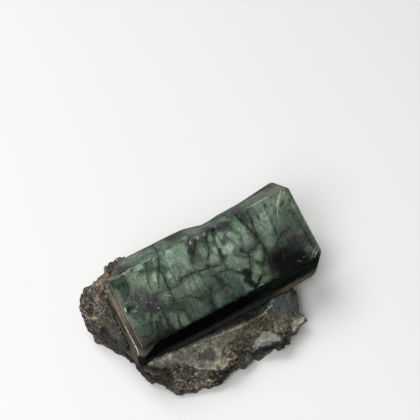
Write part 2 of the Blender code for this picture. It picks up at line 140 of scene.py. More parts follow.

# Cloudy patches of the crystal, with painted glints and a painted highlight among them: (tint, x, girth,
# half length, half width, turn, strength).
PATCHES = (
    (DEEP, -38, 4.5, 3.6, 5.5, 0, 0.9),
    (TEAL, -37.6, 7.4, 1.6, 2.6, 0, 0.7),
    (TEAL, -37.8, 2.4, 1.7, 1.8, 0, 0.6),
    (CELADON, -40.2, 8.6, 1, 4.2, 0, 0.75),
    (SAGE, -37, 0.9, 3.2, 0.5, 0, 0.6),
    (SAGE, -32.5, 3.6, 3.2, 3.4, 0, 0.8),
    (CELADON, -30.6, 5.6, 3.4, 3.4, 20, 0.7),
    (MINT, -26.8, 1.4, 2.4, 1.2, 0, 0.9),
    (CELADON, -29.2, 2.4, 1.4, 1.8, 0, 0.6),
    (CELADON, -27, 9.6, 3.8, 5.2, 10, 0.8),
    (OLIVE, -24, 11.5, 2.6, 3, 15, 0.6),
    (TEAL, -24.6, 4.6, 1.3, 2.6, 15, 0.6),
    (PALE, -22.6, 7.9, 1.2, 2.4, 20, 0.61),
    (CELADON, -20.4, 9.6, 1.3, 3, 20, 0.8),
    (TEAL, -22, 1.4, 1.5, 1.6, 0, 0.5),
    (SAGE, -19.6, 2.2, 1.2, 2.2, 10, 0.8),
    (SAGE, -21.6, 17.4, 3, 2.4, 10, 0.8),
    (TEAL, -24.8, 15.6, 1.8, 1.6, 0, 0.6),
    (MINT, -10, 4, 7.5, 4.8, 0, 0.95),
    (CELADON, -12, 10, 6.8, 4.2, 0, 0.85),
    (PALE, -14, 5.2, 0.8, 3.2, 5, 0.43),
    (PALE, -11.9, 1.3, 1.3, 1.3, 0, 0.43),
    (FERN, -7.4, 3.6, 2.4, 2.6, 0, 0.6),
    (MINT, -5, 1.4, 1.4, 1.3, 0, 0.7),
    (PALE, -7.2, 7.6, 1.9, 2.6, 10, 0.43),
    (SAGE, -8.8, 11, 2.6, 1.7, 0, 0.6),
    (PALE, -16.6, 10.9, 1.2, 1.4, 0, 0.43),
    (FERN, -12.4, 8, 1.4, 1.8, 20, 0.4),
    (CELADON, -15.4, 13.2, 2.2, 1.8, 0, 0.6),
    (OLIVE, -11.4, 18.4, 3.6, 3, 0, 0.9),
    (CELADON, -6.6, 18.6, 2.6, 3.2, 0, 0.8),
    (SAGE, -8.8, 15.6, 1.2, 0.8, 0, 0.6),
    (CELADON, -16.6, 18.4, 2, 3, 15, 0.6),
    (TEAL, -15.6, 19, 0.7, 1.8, 25, 0.6),
    (SLATE, -33, 14, 6, 5.6, 0, 0.9),
    (SLATE, -29, 17.5, 4.4, 4, 25, 0.9),
    (SMOKE, -30, 20, 6.6, 2.4, 20, 0.75),
    (SMOKE, -27.8, 16.6, 1.7, 2.2, 30, 0.7),
    (SMOKE, -37, 20.5, 3.2, 2.2, 20, 0.6),
    (BLACK, -39.1, 15.4, 0.9, 1.9, 20, 0.85),
    (BLACK, -37.5, 15.3, 1.3, 0.7, 10, 0.75),
    (INK, -38.6, 12.9, 0.6, 1, 30, 0.7),
    # The small white spots from here on are painted glints of mica.
    (WHITE, -40.7, 14.8, 0.36, 1.1, 8, 0.8),
    (PALE, -38.7, 12.5, 0.6, 0.6, 0, 0.7),
    (WHITE, -35.8, 15.8, 0.4, 0.25, 25, 0.65),
    (WHITE, -32.6, 13.9, 0.35, 0.25, 0, 0.6),
    (PALE, -31.3, 16.1, 0.4, 0.3, 20, 0.6),
    (PALE, -37.5, 17.3, 0.6, 0.35, 0, 0.6),
    (WHITE, -27.4, 20.4, 0.3, 0.45, 30, 0.7),
    (BLACK, -27.9, 21.3, 0.5, 0.5, 0, 0.7),
    (CELADON, -40.6, 21.5, 1.2, 4.2, 0, 0.7),
    (FERN, -39.2, 22.4, 1.3, 1.6, 0, 0.4),
    (TEAL, -39, 25.6, 2.6, 2.4, 0, 0.8),
    (SLATE, -35.6, 26.5, 3, 3.6, 0, 0.6),
    (TEAL, -33.6, 29, 1.6, 1.8, 0, 0.7),
    (TAUPE, -41.6, 31.4, 3.6, 3.2, -35, 0.9),
    (TAUPE, -41.4, 36, 2.8, 4.2, 0, 0.9),
    (UMBER, -38.4, 34.2, 1.2, 2.4, 20, 0.8),
    (INK, -38.6, 28.8, 2.2, 0.6, 35, 0.7),
    (INK, -36.6, 31.8, 0.7, 1.8, 0, 0.6),
    (SMOKE, -20, 23.8, 6, 2.6, 10, 0.8),
    (TEAL, -14, 24.6, 5, 1.6, 12, 0.5),
    (BLACK, -30, 32.4, 6, 2.2, 0, 0.85),
    (OLIVE, -24, 29, 1.5, 4.4, 5, 0.85),
    (DEEP, -22.3, 31, 0.8, 2.6, 5, 0.7),
    (CELADON, -19.8, 29.6, 1.5, 2.8, 0, 0.55),
    (CELADON, -32.7, 25.6, 0.8, 3, 15, 0.6),
    (CELADON, -30.4, 26.6, 0.6, 3, 15, 0.6),
    (SAGE, -27.7, 27, 0.8, 3.6, 12, 0.75),
    (SAGE, -25.6, 27.4, 0.6, 3.4, 8, 0.6),
    (TEAL, -12.4, 29.5, 4.6, 4, 0, 0.85),
    (CELADON, -10.6, 28.2, 1.8, 1.6, 0, 0.35),
    (SLATE, -7.4, 27.6, 1.6, 1.4, 0, 0.6),
    (TEAL, -2, 30.5, 2.8, 3.4, 0, 0.85),
    (SAGE, -2.4, 29, 1.4, 1.8, 0, 0.45),
    (SMOKE, -3, 5.6, 1.6, 2.6, 10, 0.95),
    (DEEP, -4.2, 9, 0.8, 2, 0, 0.85),
    (SLATE, -1.6, 11, 1.6, 2.8, 0, 0.7),
    (WHITE, -1, 1.6, 0.3, 1, 28, 0.7),
    (PALE, 2.8, 1, 1.3, 1, 0, 0.61),
    (PALE, 6.6, 1.1, 0.9, 0.9, 0, 0.5),
    (TEAL, 2.3, 5.6, 2, 2.6, 0, 0.85),
    (FERN, 2, 7, 1.2, 1.2, 0, 0.35),
    (DEEP, 1, 14.4, 1, 1.5, 10, 0.9),
    (OLIVE, 4.8, 12.8, 2.4, 2.4, 0, 0.9),
    (OLIVE, 4.8, 17.4, 2.2, 1.4, 10, 0.8),
    (SLATE, 1.8, 17, 1.4, 1.2, 0, 0.7),
    (MINT, 7.4, 9.8, 1.1, 2, 0, 0.8),
    (SAGE, 6.6, 13.6, 1.6, 2.2, 0, 0.7),
    (FERN, 8.2, 3.8, 1.1, 1.8, 10, 0.8),
    (FERN, 10.8, 7.4, 1.3, 3, 0, 0.8),
    (SAGE, 12.6, 4.6, 1.8, 2, 0, 0.8),
    (PALE, 14.7, 11.4, 2.2, 1.9, 0, 0.35),
    (MINT, 12.6, 12, 3, 2.6, 0, 0.7),
    (CELADON, 12.5, 17.4, 3.6, 3.6, 0, 0.95),
    (OLIVE, 16, 20.2, 3.2, 1.4, -10, 0.8),
    (PALE, 17.4, 6.4, 1.9, 1.6, 20, 0.35),
    (SAGE, 18.4, 11.6, 2.2, 2.4, 0, 0.6),
    (BLACK, 11.2, 1.2, 1.5, 0.9, 0, 0.95),
    (BLACK, 8.7, 0.9, 0.8, 0.5, 0, 0.8),
    (DEEP, 18.1, 2.2, 0.9, 1.3, 0, 0.8),
    (FERN, 22, 2.8, 1.8, 3.2, 8, 0.6),
    (MINT, 23.4, 6.6, 1.7, 1.8, 0, 0.8),
    (TEAL, 20.8, 7.6, 1.2, 1, 20, 0.6),
    (SAGE, 23.4, 12.2, 2.8, 2.8, 0, 0.9),
    (CELADON, 23.4, 10.4, 1.4, 1.4, 0, 0.5),
    (CELADON, 24.2, 20.6, 2.8, 2.4, -10, 0.95),
    (SAGE, 25.6, 19.2, 1.2, 1.2, 0, 0.5),
    (CELADON, 20.4, 26.6, 2.2, 3, 15, 0.95),
    (SAGE, 18.6, 29, 1.4, 1.2, 0, 0.7),
    (OLIVE, 23, 31.4, 2.6, 1.8, 0, 0.7),
    (OLIVE, 25.4, 28, 1.6, 3.6, 10, 0.7),
    (DEEP, 22.2, 23.6, 0.9, 0.8, 0, 0.8),
    (DEEP, 24.6, 25.2, 1.4, 1, 15, 0.85),
    (DEEP, 12.4, 23, 1.1, 1, 20, 0.9),
    (TEAL, 8, 28.5, 4.6, 4.4, 0, 0.8),
    (CELADON, 11.2, 27, 1.4, 2.6, 12, 0.55),
    (DEEP, 9.4, 31.2, 2.2, 1.2, 0, 0.6),
    (SAGE, 12.4, 31.6, 1.6, 1.6, 0, 0.5),
    (DEEP, 2.8, 23.4, 1.9, 2.8, 0, 0.9),
    (TEAL, 7.4, 23.2, 3.2, 2.4, 0, 0.7),
    (SLATE, 2.2, 28.4, 1.9, 2, 0, 0.75),
    (TEAL, 1, 32.4, 1.8, 1.4, 0, 0.7),
    (INK, 15.6, 24.6, 2.9, 1.9, 25, 0.95),
    (INK, 14.9, 27.6, 2.3, 3.6, 8, 0.97),
    (INK, 15.6, 30.6, 1.9, 2.4, -12, 0.97),
    (BLACK, 17, 33, 2.5, 2, -25, 0.97),
    (INK, 19.4, 30.6, 2.4, 0.9, -35, 0.95),
    (SMOKE, 26, 1.4, 1.8, 2.2, 0, 0.85),
    (DEEP, 27.2, 4.2, 1.3, 2.6, 10, 0.8),
    (SLATE, 28.9, 4.2, 0.9, 3.4, 8, 0.8),
    (SAGE, 27.9, 7.4, 0.8, 1.8, 10, 0.7),
    (TEAL, 32.6, 1.8, 1.6, 1.6, 0, 0.8),
    (SAGE, 31.6, 6, 1.1, 1.8, 0, 0.8),
    (DEEP, 33.5, 5.2, 0.7, 1.3, 0, 0.8),
    (PALE, 36.3, 6, 2.1, 2.2, 0, 0.54),
    (CELADON, 34.2, 11.6, 3.2, 3.6, 0, 0.85),
    (CELADON, 37, 10, 1.6, 3, 0, 0.6),
    (CELADON, 32.6, 17.2, 3.2, 2.8, 0, 0.6),
    (TEAL, 38, 17.4, 2.4, 2, 20, 0.6),
    (TEAL, 43, 10, 4.6, 5.2, 0, 0.85),
    (SAGE, 42, 9.6, 2.6, 3, 0, 0.35),
    (SAGE, 42.4, 2.4, 2.6, 1.6, 20, 0.5),
    (DEEP, 39.4, 1.6, 0.8, 1.3, 20, 0.8),
    (DEEP, 47, 4.6, 2.4, 1, -30, 0.6),
    (SLATE, 43.5, 18, 6.5, 4.4, 0, 0.85),
    (SLATE, 47, 13, 2.4, 3, 0, 0.5),
    (SMOKE, 44, 24, 8, 4.4, 0, 0.9),
    (SMOKE, 36, 20.6, 4, 1.4, 0, 0.7),
    (BLACK, 34, 28.4, 6.2, 7, 0, 0.95),
    (BLACK, 40.5, 30.6, 8, 5, 0, 0.95),
    (SMOKE, 37.4, 26, 2.4, 1.6, 0, 0.6),
    (SLATE, 35.4, 26, 0.5, 2.2, 15, 0.6),
    # Painted glints of mica.
    (WHITE, 41.6, 32, 0.6, 0.2, -40, 0.5),
    (PALE, 43.8, 30.8, 0.5, 0.2, 10, 0.5),
    (PALE, 40.4, 31.4, 0.4, 0.4, 0, 0.6),
    (TAUPE, 48, 28.4, 1.5, 2.2, 20, 0.7),
    (TAN, 50.4, 31.4, 1.6, 0.5, -25, 0.7),
    (TAUPE, 49.6, 34, 2.8, 1.4, 0, 0.8),
    (TAN, 47.6, 32.4, 0.9, 0.7, 0, 0.6),
    (UMBER, 50.5, 27.6, 1.3, 0.7, 0, 0.8),
    (FERN, 51.8, 7.5, 1, 1.8, 0, 0.95),
    (TAN, 49.6, 7.4, 0.5, 0.6, 0, 0.6),
    (UMBER, 48.8, 8.9, 0.9, 0.6, 0, 0.75),
    (DEEP, 51.2, 4.4, 0.8, 1, 0, 0.8),
    (OLIVE, 52, 12, 1.2, 3, 0, 0.5),
    (FERN, 50.2, 12.4, 0.8, 2, 0, 0.4),
    # The top face, with broken brown stone along the dips of the ridge.
    (TAUPE, 6, -1.6, 3.4, 1, 0, 0.8),
    (UMBER, 10.5, -1, 1.6, 0.8, 0, 0.8),
    (TAN, 13.4, -1.8, 2.2, 0.7, 0, 0.6),
    (TAUPE, 18.4, -1.4, 3, 0.8, 0, 0.7),
    (UMBER, 24, -1.8, 3, 1, 0, 0.8),
    (TAUPE, 29, -1.2, 2.4, 0.8, 0, 0.7),
    (TAUPE, -3, -1.2, 3, 0.7, 0, 0.5),
    (SLATE, -38, -4, 4.6, 3.6, 0, 0.9),
    (PALE, -36.5, -8.6, 3, 1.4, 0, 0.43),
    (SLATE, -32, -10.5, 4, 2.4, 0, 0.7),
    (SMOKE, -34, -5, 1.6, 4, 0, 0.7),
    (MINT, -20, -5, 10.5, 5.5, 0, 0.75),
    (FERN, -24, -3, 4, 1.6, 0, 0.5),
    (CELADON, -12, -7, 5, 5, 0, 0.7),
    (SMOKE, 0.5, -5, 1.1, 6, 10, 0.8),
    (SAGE, 4, -6, 4.4, 5, 0, 0.8),
    (PALE, -1.6, -3, 1.6, 2, 0, 0.43),
    (TEAL, 13, -6, 4.4, 5, 0, 0.7),
    (PALE, 11.5, -8, 3.5, 0.9, 0, 0.5),
    (SAGE, 19, -4, 3, 3.6, 0, 0.7),
    (SMOKE, 27, -5.5, 3.6, 5.6, 15, 0.85),
    (SAGE, 42, -6.5, 11, 5.6, 0, 0.75),
    (FERN, 38, -9.5, 5, 1.6, 0, 0.4),
    (TEAL, 34, -4.6, 3, 1.6, 0, 0.6),
    # A pale strip along the ridge: a painted highlight.
    (PALE, 36.5, -1.6, 6, 0.55, 2, 0.58),
    (PALE, 47, -4.4, 4, 0.6, -4, 0.36),
)

# Lighter and darker parts of the crystal, in stops: (x, girth, half length, half width, stops).
TONES = (
    (3.4, 7.5, 5.5, 5, 0.45),
    (15.2, 8.1, 5.5, 5, 0.7),
    (-26, 9, 4, 5, 0.2),
    (30, 6, 8, 6, 0.12),
    (9, 8, 12, 6, 0.15),
    (-18, -6, 12, 6, -0.55),
    (-6, 5.5, 7, 5, -0.3),
    (-37.5, 5.5, 5, 5, -0.4),
    (-33, 15.5, 6, 5, -0.25),
    (-31, 31.5, 7, 2.6, -0.5),
    (-39.5, 31.5, 4, 3, -0.45),
    (-17.4, 17.1, 5, 4, -0.3),
    (8, 28, 6, 5, -0.4),
    (35, 30, 9, 6.5, -1.7),
    (-39, 33, 8, 2.5, -0.7),
    (41, 22, 8, 6, -0.6),
    (46.8, 23, 3.5, 5, 0.6),
    (-20, 25, 6, 4, -0.2),
    (4, 22, 3, 2, -0.3),
)

# Dark cracks and veins of the crystal: (width, strength, places along it).
VEINS = (
    (0.7, 0.75, ((-35.2, -1.4), (-35, 1), (-34.9, 3), (-34.8, 6.2), (-35.4, 8.4), (-36.8, 9.8))),
    (0.6, 0.6, ((-23.2, 0.4), (-23.9, 2.4), (-24.4, 4.2), (-25.5, 7), (-26.4, 9.4), (-26.8, 12))),
    (0.7, 0.85, ((-16.8, -0.8), (-17.4, 1.4), (-18.5, 4), (-19.3, 6), (-19, 10), (-19.4, 13.4),
        (-19.5, 16.4), (-19.8, 20), (-20.4, 22))),
    (0.4, 0.7, ((-20, 6.6), (-21.2, 9.2), (-22.6, 12), (-23.7, 13.8))),
    (0.4, 0.5, ((-21.4, 8.6), (-22.8, 11.6), (-24.3, 13.6))),
    (0.5, 0.6, ((-27, 14.6), (-24, 15.2), (-20.5, 15.7), (-15, 16), (-13.2, 14.6))),
    (0.9, 0.9, ((-13.4, 14.7), (-11.9, 13.8), (-9.3, 14.1), (-7, 14.1), (-5, 13.9), (-2.9, 14.6),
        (-0.6, 15.1), (0.8, 15.1))),
    (0.4, 0.55, ((-5.2, 13.9), (-5.4, 11.6), (-4.8, 9.4))),
    (0.35, 0.4, ((-15, 4), (-15.4, 8), (-15, 12), (-15.6, 15.6))),
    (0.35, 0.4, ((-10.4, 4.6), (-11.4, 8), (-11, 11))),
    (0.35, 0.4, ((-13.6, 16.2), (-14.4, 19), (-14, 22.4))),
    (0.35, 0.4, ((-8.2, 14.4), (-7.4, 17.4), (-8.4, 20.6), (-7.8, 22.4))),
    (0.4, 0.5, ((-4.4, 14.6), (-4, 18), (-4.4, 21.4), (-3.6, 23.4))),
    (0.7, 0.85, ((1.8, 1.4), (0.8, 3.2), (-0.4, 4.8), (-1.6, 6))),
    (0.7, 0.9, ((7.4, 1.6), (6.6, 3.2), (6, 5), (5.4, 7), (5, 8.6), (4, 10), (2.6, 11.4))),
    (0.5, 0.6, ((4.4, 1.2), (6, 2.6), (6.8, 3.6))),
    (0.4, 0.6, ((3.8, 2.8), (4.4, 5.4), (4.2, 7.4))),
    (0.9, 0.9, ((-2.4, 23.8), (-3.6, 25.2), (-4.4, 26.6), (-5, 29), (-5.2, 32), (-5.6, 34.6))),
    (0.8, 0.75, ((-12.2, 22.8), (-11.4, 23.6), (-10, 24.6), (-9.2, 25.4), (-7.8, 26.2))),
    (0.4, 0.6, ((-22, 19.8), (-19.4, 21), (-16, 21.8), (-13, 22.6), (-12, 23))),
    (1.5, 0.95, ((-19.2, 26.8), (-17.8, 26.6), (-17.6, 28.4), (-17.4, 30), (-16.9, 31.8))),
    (0.9, 0.8, ((-21.6, 27.5), (-22.4, 31), (-22.2, 34))),
    (1.3, 0.9, ((-31.8, 21.6), (-32.4, 23), (-33.2, 25), (-33.8, 26.8), (-34.6, 29))),
    (1.3, 0.9, ((-30.8, 25.6), (-31.7, 26.8), (-32.6, 28))),
    (1.4, 0.95, ((-31, 27.2), (-31.6, 29), (-32.2, 30.6))),
    (1.5, 0.95, ((-28.8, 24.4), (-29.4, 26.4), (-29.8, 28.6), (-30.6, 30), (-31.4, 31.4))),
    (1.2, 0.9, ((-26, 22.6), (-26.6, 24), (-26.4, 27), (-27.2, 29.4), (-28, 31.6))),
    (0.8, 0.7, ((-24.9, 24.5), (-25.4, 27.4), (-26, 30.6))),
    (0.5, 0.5, ((-36.4, 19), (-35.2, 21.6), (-35.6, 24.6))),
    (0.7, 0.85, ((0.8, 19.4), (2, 20.2), (2.2, 21.8), (3.4, 22.8))),
    (0.5, 0.7, ((-1.4, 26), (1, 26.2), (3.4, 25.6), (5, 26))),
    (0.6, 0.75, ((0.6, 15.2), (2.2, 15.2), (3.4, 16), (5, 16), (6.6, 16.8))),
    (0.5, 0.7, ((2.4, 19.2), (4.4, 19.1), (7, 19.9), (9.5, 20.6), (11.4, 22.4))),
    (0.4, 0.5, ((8.9, 11), (8.6, 14), (8.3, 17.5), (8.6, 21))),
    (0.4, 0.5, ((9.6, 6.4), (9.5, 9.6), (9.9, 12), (9.4, 14))),
    (0.8, 0.9, ((18.4, 14.6), (18.9, 15.6), (19.8, 16.6), (20.8, 17.6), (20.2, 19.6), (19.2, 21.8),
        (18.2, 24), (17.2, 26.4))),
    (0.7, 0.9, ((20.8, 17.4), (22.6, 16.8), (24.2, 17.2), (25.6, 16.6), (27.4, 15.8), (28.4, 16.2))),
    (1.2, 0.9, ((24.8, -0.6), (25.2, 2.4), (25.6, 4.8), (26.8, 6.7), (27.4, 9), (27.6, 11), (28.2, 14.3),
        (28.9, 17), (28.9, 19), (27.8, 21), (26.8, 22.8), (26.2, 24.4))),
    (0.9, 0.85, ((29.8, 0), (30, 3), (29.6, 6), (29, 9), (28.8, 12), (28.6, 15))),
    (1, 0.9, ((28.9, 19), (29.2, 22), (28.9, 25), (28.2, 27), (27.4, 29.2), (26.6, 31.2))),
    (0.5, 0.6, ((38.9, 1.6), (38.4, 3.4), (38, 6), (38.3, 9))),
    (0.6, 0.6, ((38.1, 9), (38.2, 12.4), (37.6, 15.6), (37, 18))),
    (0.6, 0.8, ((35.6, 19.4), (38.4, 17.6), (40.7, 16.4), (43, 16.2))),
    (0.4, 0.5, ((33.2, 4), (32.8, 8), (33.6, 12))),
    (0.5, 0.5, ((44.4, 15), (45, 19), (44, 23))),
    (0.8, 0.5, ((50.2, 11), (50.3, 15), (50.1, 18), (50.4, 22), (50.2, 27))),
    (0.5, 0.6, ((48.8, 3), (47, 4.4), (45.4, 6))),
    (0.45, 0.6, ((15.2, 2.6), (15.1, 6.4), (16.8, 8.4), (17.4, 11.6), (18.6, 14.4))),
    (0.4, 0.55, ((11.8, 3), (12.2, 6), (11.6, 8.4))),
    (0.4, 0.5, ((19.6, 3.4), (20.4, 6), (21.8, 8.2), (21, 11))),
    (0.5, 0.7, ((14.8, 15.6), (15.8, 16.8), (17.4, 17.6), (19, 19.4))),
    (0.4, 0.5, ((24.8, 7.6), (26, 8.6), (27.2, 8.8))),
    (0.5, 0.7, ((22.6, 22.4), (23.6, 24), (25.2, 24.8), (26.6, 24.6))),
    (0.5, 0.6, ((19.2, 28.4), (21.4, 29.2), (23.4, 29.8), (26.4, 30))),
    (0.4, 0.5, ((10.2, 23.4), (10.8, 26), (10, 29), (10.8, 32))),
    (0.4, 0.5, ((5.6, 26.4), (6, 29), (5.4, 32.6))),
    (0.5, 0.6, ((-29, -3.6), (-22, -4), (-14, -3.4))),
    (0.5, 0.6, ((31, -4), (37, -3.6), (44, -4.6), (50, -4.4))),
    (0.45, 0.6, ((33, -7.4), (40, -7), (48, -8))),
    (0.6, 0.7, ((-16.8, -0.8), (-15.8, -4), (-15, -8), (-14, -13))),
    (0.6, 0.7, ((20.4, -1), (21.6, -5), (22, -10))),
)

# Pale scratched lines on the crystal, and painted highlights along the ridge, in the same way.
SCRATCHES_AND_HIGHLIGHTS = (
    (0.45, 0.6, ((49.6, -1.2), (47.6, 1.4), (45.5, 3.7))),
    (0.4, 0.5, ((47.4, 0.4), (45.6, 2.6), (44, 5))),
    (0.4, 0.6, ((48.4, 33.4), (50, 32), (51.8, 31.2))),
    (0.35, 0.5, ((48.6, 31.2), (50.4, 30), (52.2, 29.4))),
    (0.35, 0.45, ((51.4, -0.4), (50.2, 1), (49.2, 2.6))),
    (0.35, 0.4, ((45.2, 3.8), (43.4, 6.4), (42.4, 8.6))),
    (0.35, 0.4, ((-21.9, 17.6), (-20.2, 18.6))),
    (0.35, 0.5, ((16.6, 33.2), (18.4, 32.6), (20, 32.8))),
    # Painted highlights along the ridge.
    (0.4, 0.4, ((-41, -0.6), (-38, -0.3), (-34, -0.1), (-30, 0.2), (-26, 0.1), (-21, 0))),
    (0.35, 0.3, ((-40.6, 0.5), (-37, 1), (-33.4, 0.8))),
    (0.4, 0.45, ((30.8, -1.4), (34, -1.1), (38, -1.3), (43, -1.7))),
    (0.35, 0.5, ((-34, -7.4), (-29, -8.2), (-24, -9))),
    (0.35, 0.5, ((-33, -10.6), (-27, -10.2), (-20, -10.8))),
)

# The slab's stone: (tint, centre, half-lengths, strength, how granular it is). The black ones are painted
# shade in pits and under overhanging steps.
STONE = (
    (TAUPE, (-46, 15, 22), (8, 11, 11), 0.85, GRITTY),
    (DUST, (-40, 24.5, 28), (4.6, 4.6, 6.5), 0.9, 0.4),
    (BROWN, (-33, 25, 34), (4, 4, 4), 0.7, 0.6),
    (DUST, (-47, 18, 26), (4.6, 6, 6), 0.75, GRITTY),
    (DUST, (-50.5, 17.2, 13.4), (2.2, 3.4, 1.2), 0.9, GRITTY),
    (DARK_GREY, (-50.2, 11, 10), (4, 5, 5.4), 0.95, CALM),
    (SHADE_BLACK, (-50.6, 16, 9.6), (2.2, 5, 1.2), 0.8, CALM),
    (DARK_GREY, (-48, 1, 11), (7, 12.5, 14.5), 0.95, CALM),
    (MOSS, (-46.6, 6, 19.6), (2.6, 4, 4), 0.6, CALM),
    (DARK_GREY, (-45, -6, 8), (3.5, 7, 10), 0.9, CALM),
    (SHADE_BLACK, (-50.4, 7, 8.4), (2.6, 2.6, 1.6), 0.9, CALM),
    (SHADE_BLACK, (-44.6, -2, 2.4), (5, 8, 2.2), 0.7, CALM),
    (LEDGE, (-34, -20.5, 16), (7.5, 3.4, 3.4), 0.95, CALM),
    (EARTH, (-40.5, -22, 6), (7, 8, 5.2), 0.9, 0.6),
    (LEDGE, (-20, -24, 13), (12, 4, 3.4), 0.9, CALM),
    (CHALK, (-21, -23.6, 13.4), (4.6, 2, 2), 0.45, CALM),
    (LEDGE, (-4, -26, 11.4), (12, 5.2, 3), 0.7, CALM),
    (TAUPE, (-28, -31, 7), (8, 6, 5.6), 0.9, GRITTY),
    (UMBER, (-14, -37, 6), (11, 4, 5.6), 0.9, GRITTY),
    (BROWN, (0, -35, 8), (10, 3.6, 4.6), 0.8, GRITTY),
    (CHALK, (-15.4, -31.4, 11.6), (7.2, 2.4, 2.2), 0.75, CALM),
    (BLUE_GREY, (-14.6, -27, 11.2), (4.4, 2.4, 2.6), 0.95, POLISHED),
    (CHALK, (-17.8, -24.6, 12.6), (1.6, 1, 1.6), 0.5, CALM),
    (MOSS, (8, -28, 11), (9, 4, 2.4), 0.6, LAYERED),
    (TAUPE, (16, -28, 11), (8, 5, 2.6), 0.5, LAYERED),
    (DARK_GREY, (2, -36, 6), (7, 3.6, 3.6), 0.9, CALM),
    (SHADE_BLACK, (10, -36.6, 6.6), (7, 4, 2.2), 0.85, CALM),
    (CHALK, (12, -33, 11), (5.6, 2.7, 1.8), 0.95, POLISHED),
    (BLUE_GREY, (30, -20, 11), (8, 6.4, 4), 0.95, POLISHED),
    (SLATE, (34, -24, 10), (3, 3.4, 3), 0.5, CALM),
    (MOSS, (25, -29, 10.6), (4.6, 3.4, 2), 0.7, LAYERED),
    (CHALK, (31.4, -33.6, 8.6), (3.6, 1.6, 2), 0.8, CALM),
    (UMBER, (33, -30.6, 8), (3.4, 1.2, 1.6), 0.7, CALM),
)

# Flat and broken faces of the slab, seen from above: (tint, strength, how granular, lowest z, outline).
FACES = (
    ((108, 107, 93), 0.85, 0.2, 9, ((-42, -18.2), (-27.5, -18.2), (-14, -18.2), (-1, -18.2), (7, -18.2),
        (1, -25.3), (-5.6, -27.1), (-9.4, -28.8), (-11.8, -33.3), (-19.3, -31.2), (-22.6, -29.1),
        (-24.6, -26.5), (-30.2, -23.2), (-35.6, -24.6))),
    ((80, 72, 58), 0.8, 0.7, 7, ((-9, -29), (-5.6, -27.1), (0.7, -25.7), (7.1, -29), (6, -32.5),
        (1.3, -33.1), (-5.2, -33.7), (-9.3, -32.7))),
    ((94, 90, 71), 0.8, 0.6, 7, ((6.2, -18.2), (18.5, -18.2), (22.2, -23.4), (23.5, -27.9), (27.5, -30.1),
        (33.7, -27.4), (32.2, -32.5), (26.8, -34.4), (20.7, -34.1), (16.4, -30.1), (12.1, -29.7), (7.1, -29),
        (2.8, -25.8))),
    ((138, 136, 119), 0.8, 0.2, 9.5, ((-21, -27.4), (-17.2, -28), (-13.9, -30.9), (-9.3, -32.7),
        (-6.8, -33.7), (-13.3, -35.8), (-19.1, -31.4))),
    ((71, 72, 69), 0.9, POLISHED, 9, ((-18.4, -26.4), (-14.9, -24.9), (-11.4, -27), (-11.6, -29.4),
        (-14.5, -29.4))),
    ((126, 127, 118), 0.95, POLISHED, 7.4, ((4.7, -32.8), (6.7, -31.6), (11.9, -30.2), (16.2, -30.4),
        (17.6, -36.9), (16.4, -37.8), (11.5, -35.6), (7, -34.3))),
    ((60, 66, 60), 0.9, CALM, 0, ((1, -33.4), (3.9, -34.1), (6.5, -35.2), (8.6, -36.4), (2.2, -39),
        (-2, -37))),
    ((82, 87, 84), 0.9, POLISHED, 5, ((24.5, -17), (29.4, -15), (38, -15.7), (39, -23.3), (34.5, -27),
        (27.9, -29.7), (23.5, -27.9), (22.2, -23.4))),
    ((126, 126, 114), 0.85, POLISHED, 6, ((26.3, -32.9), (32.3, -31.8), (36.5, -32), (31, -34.4), (27, -36),
        (24, -36.2))),
)
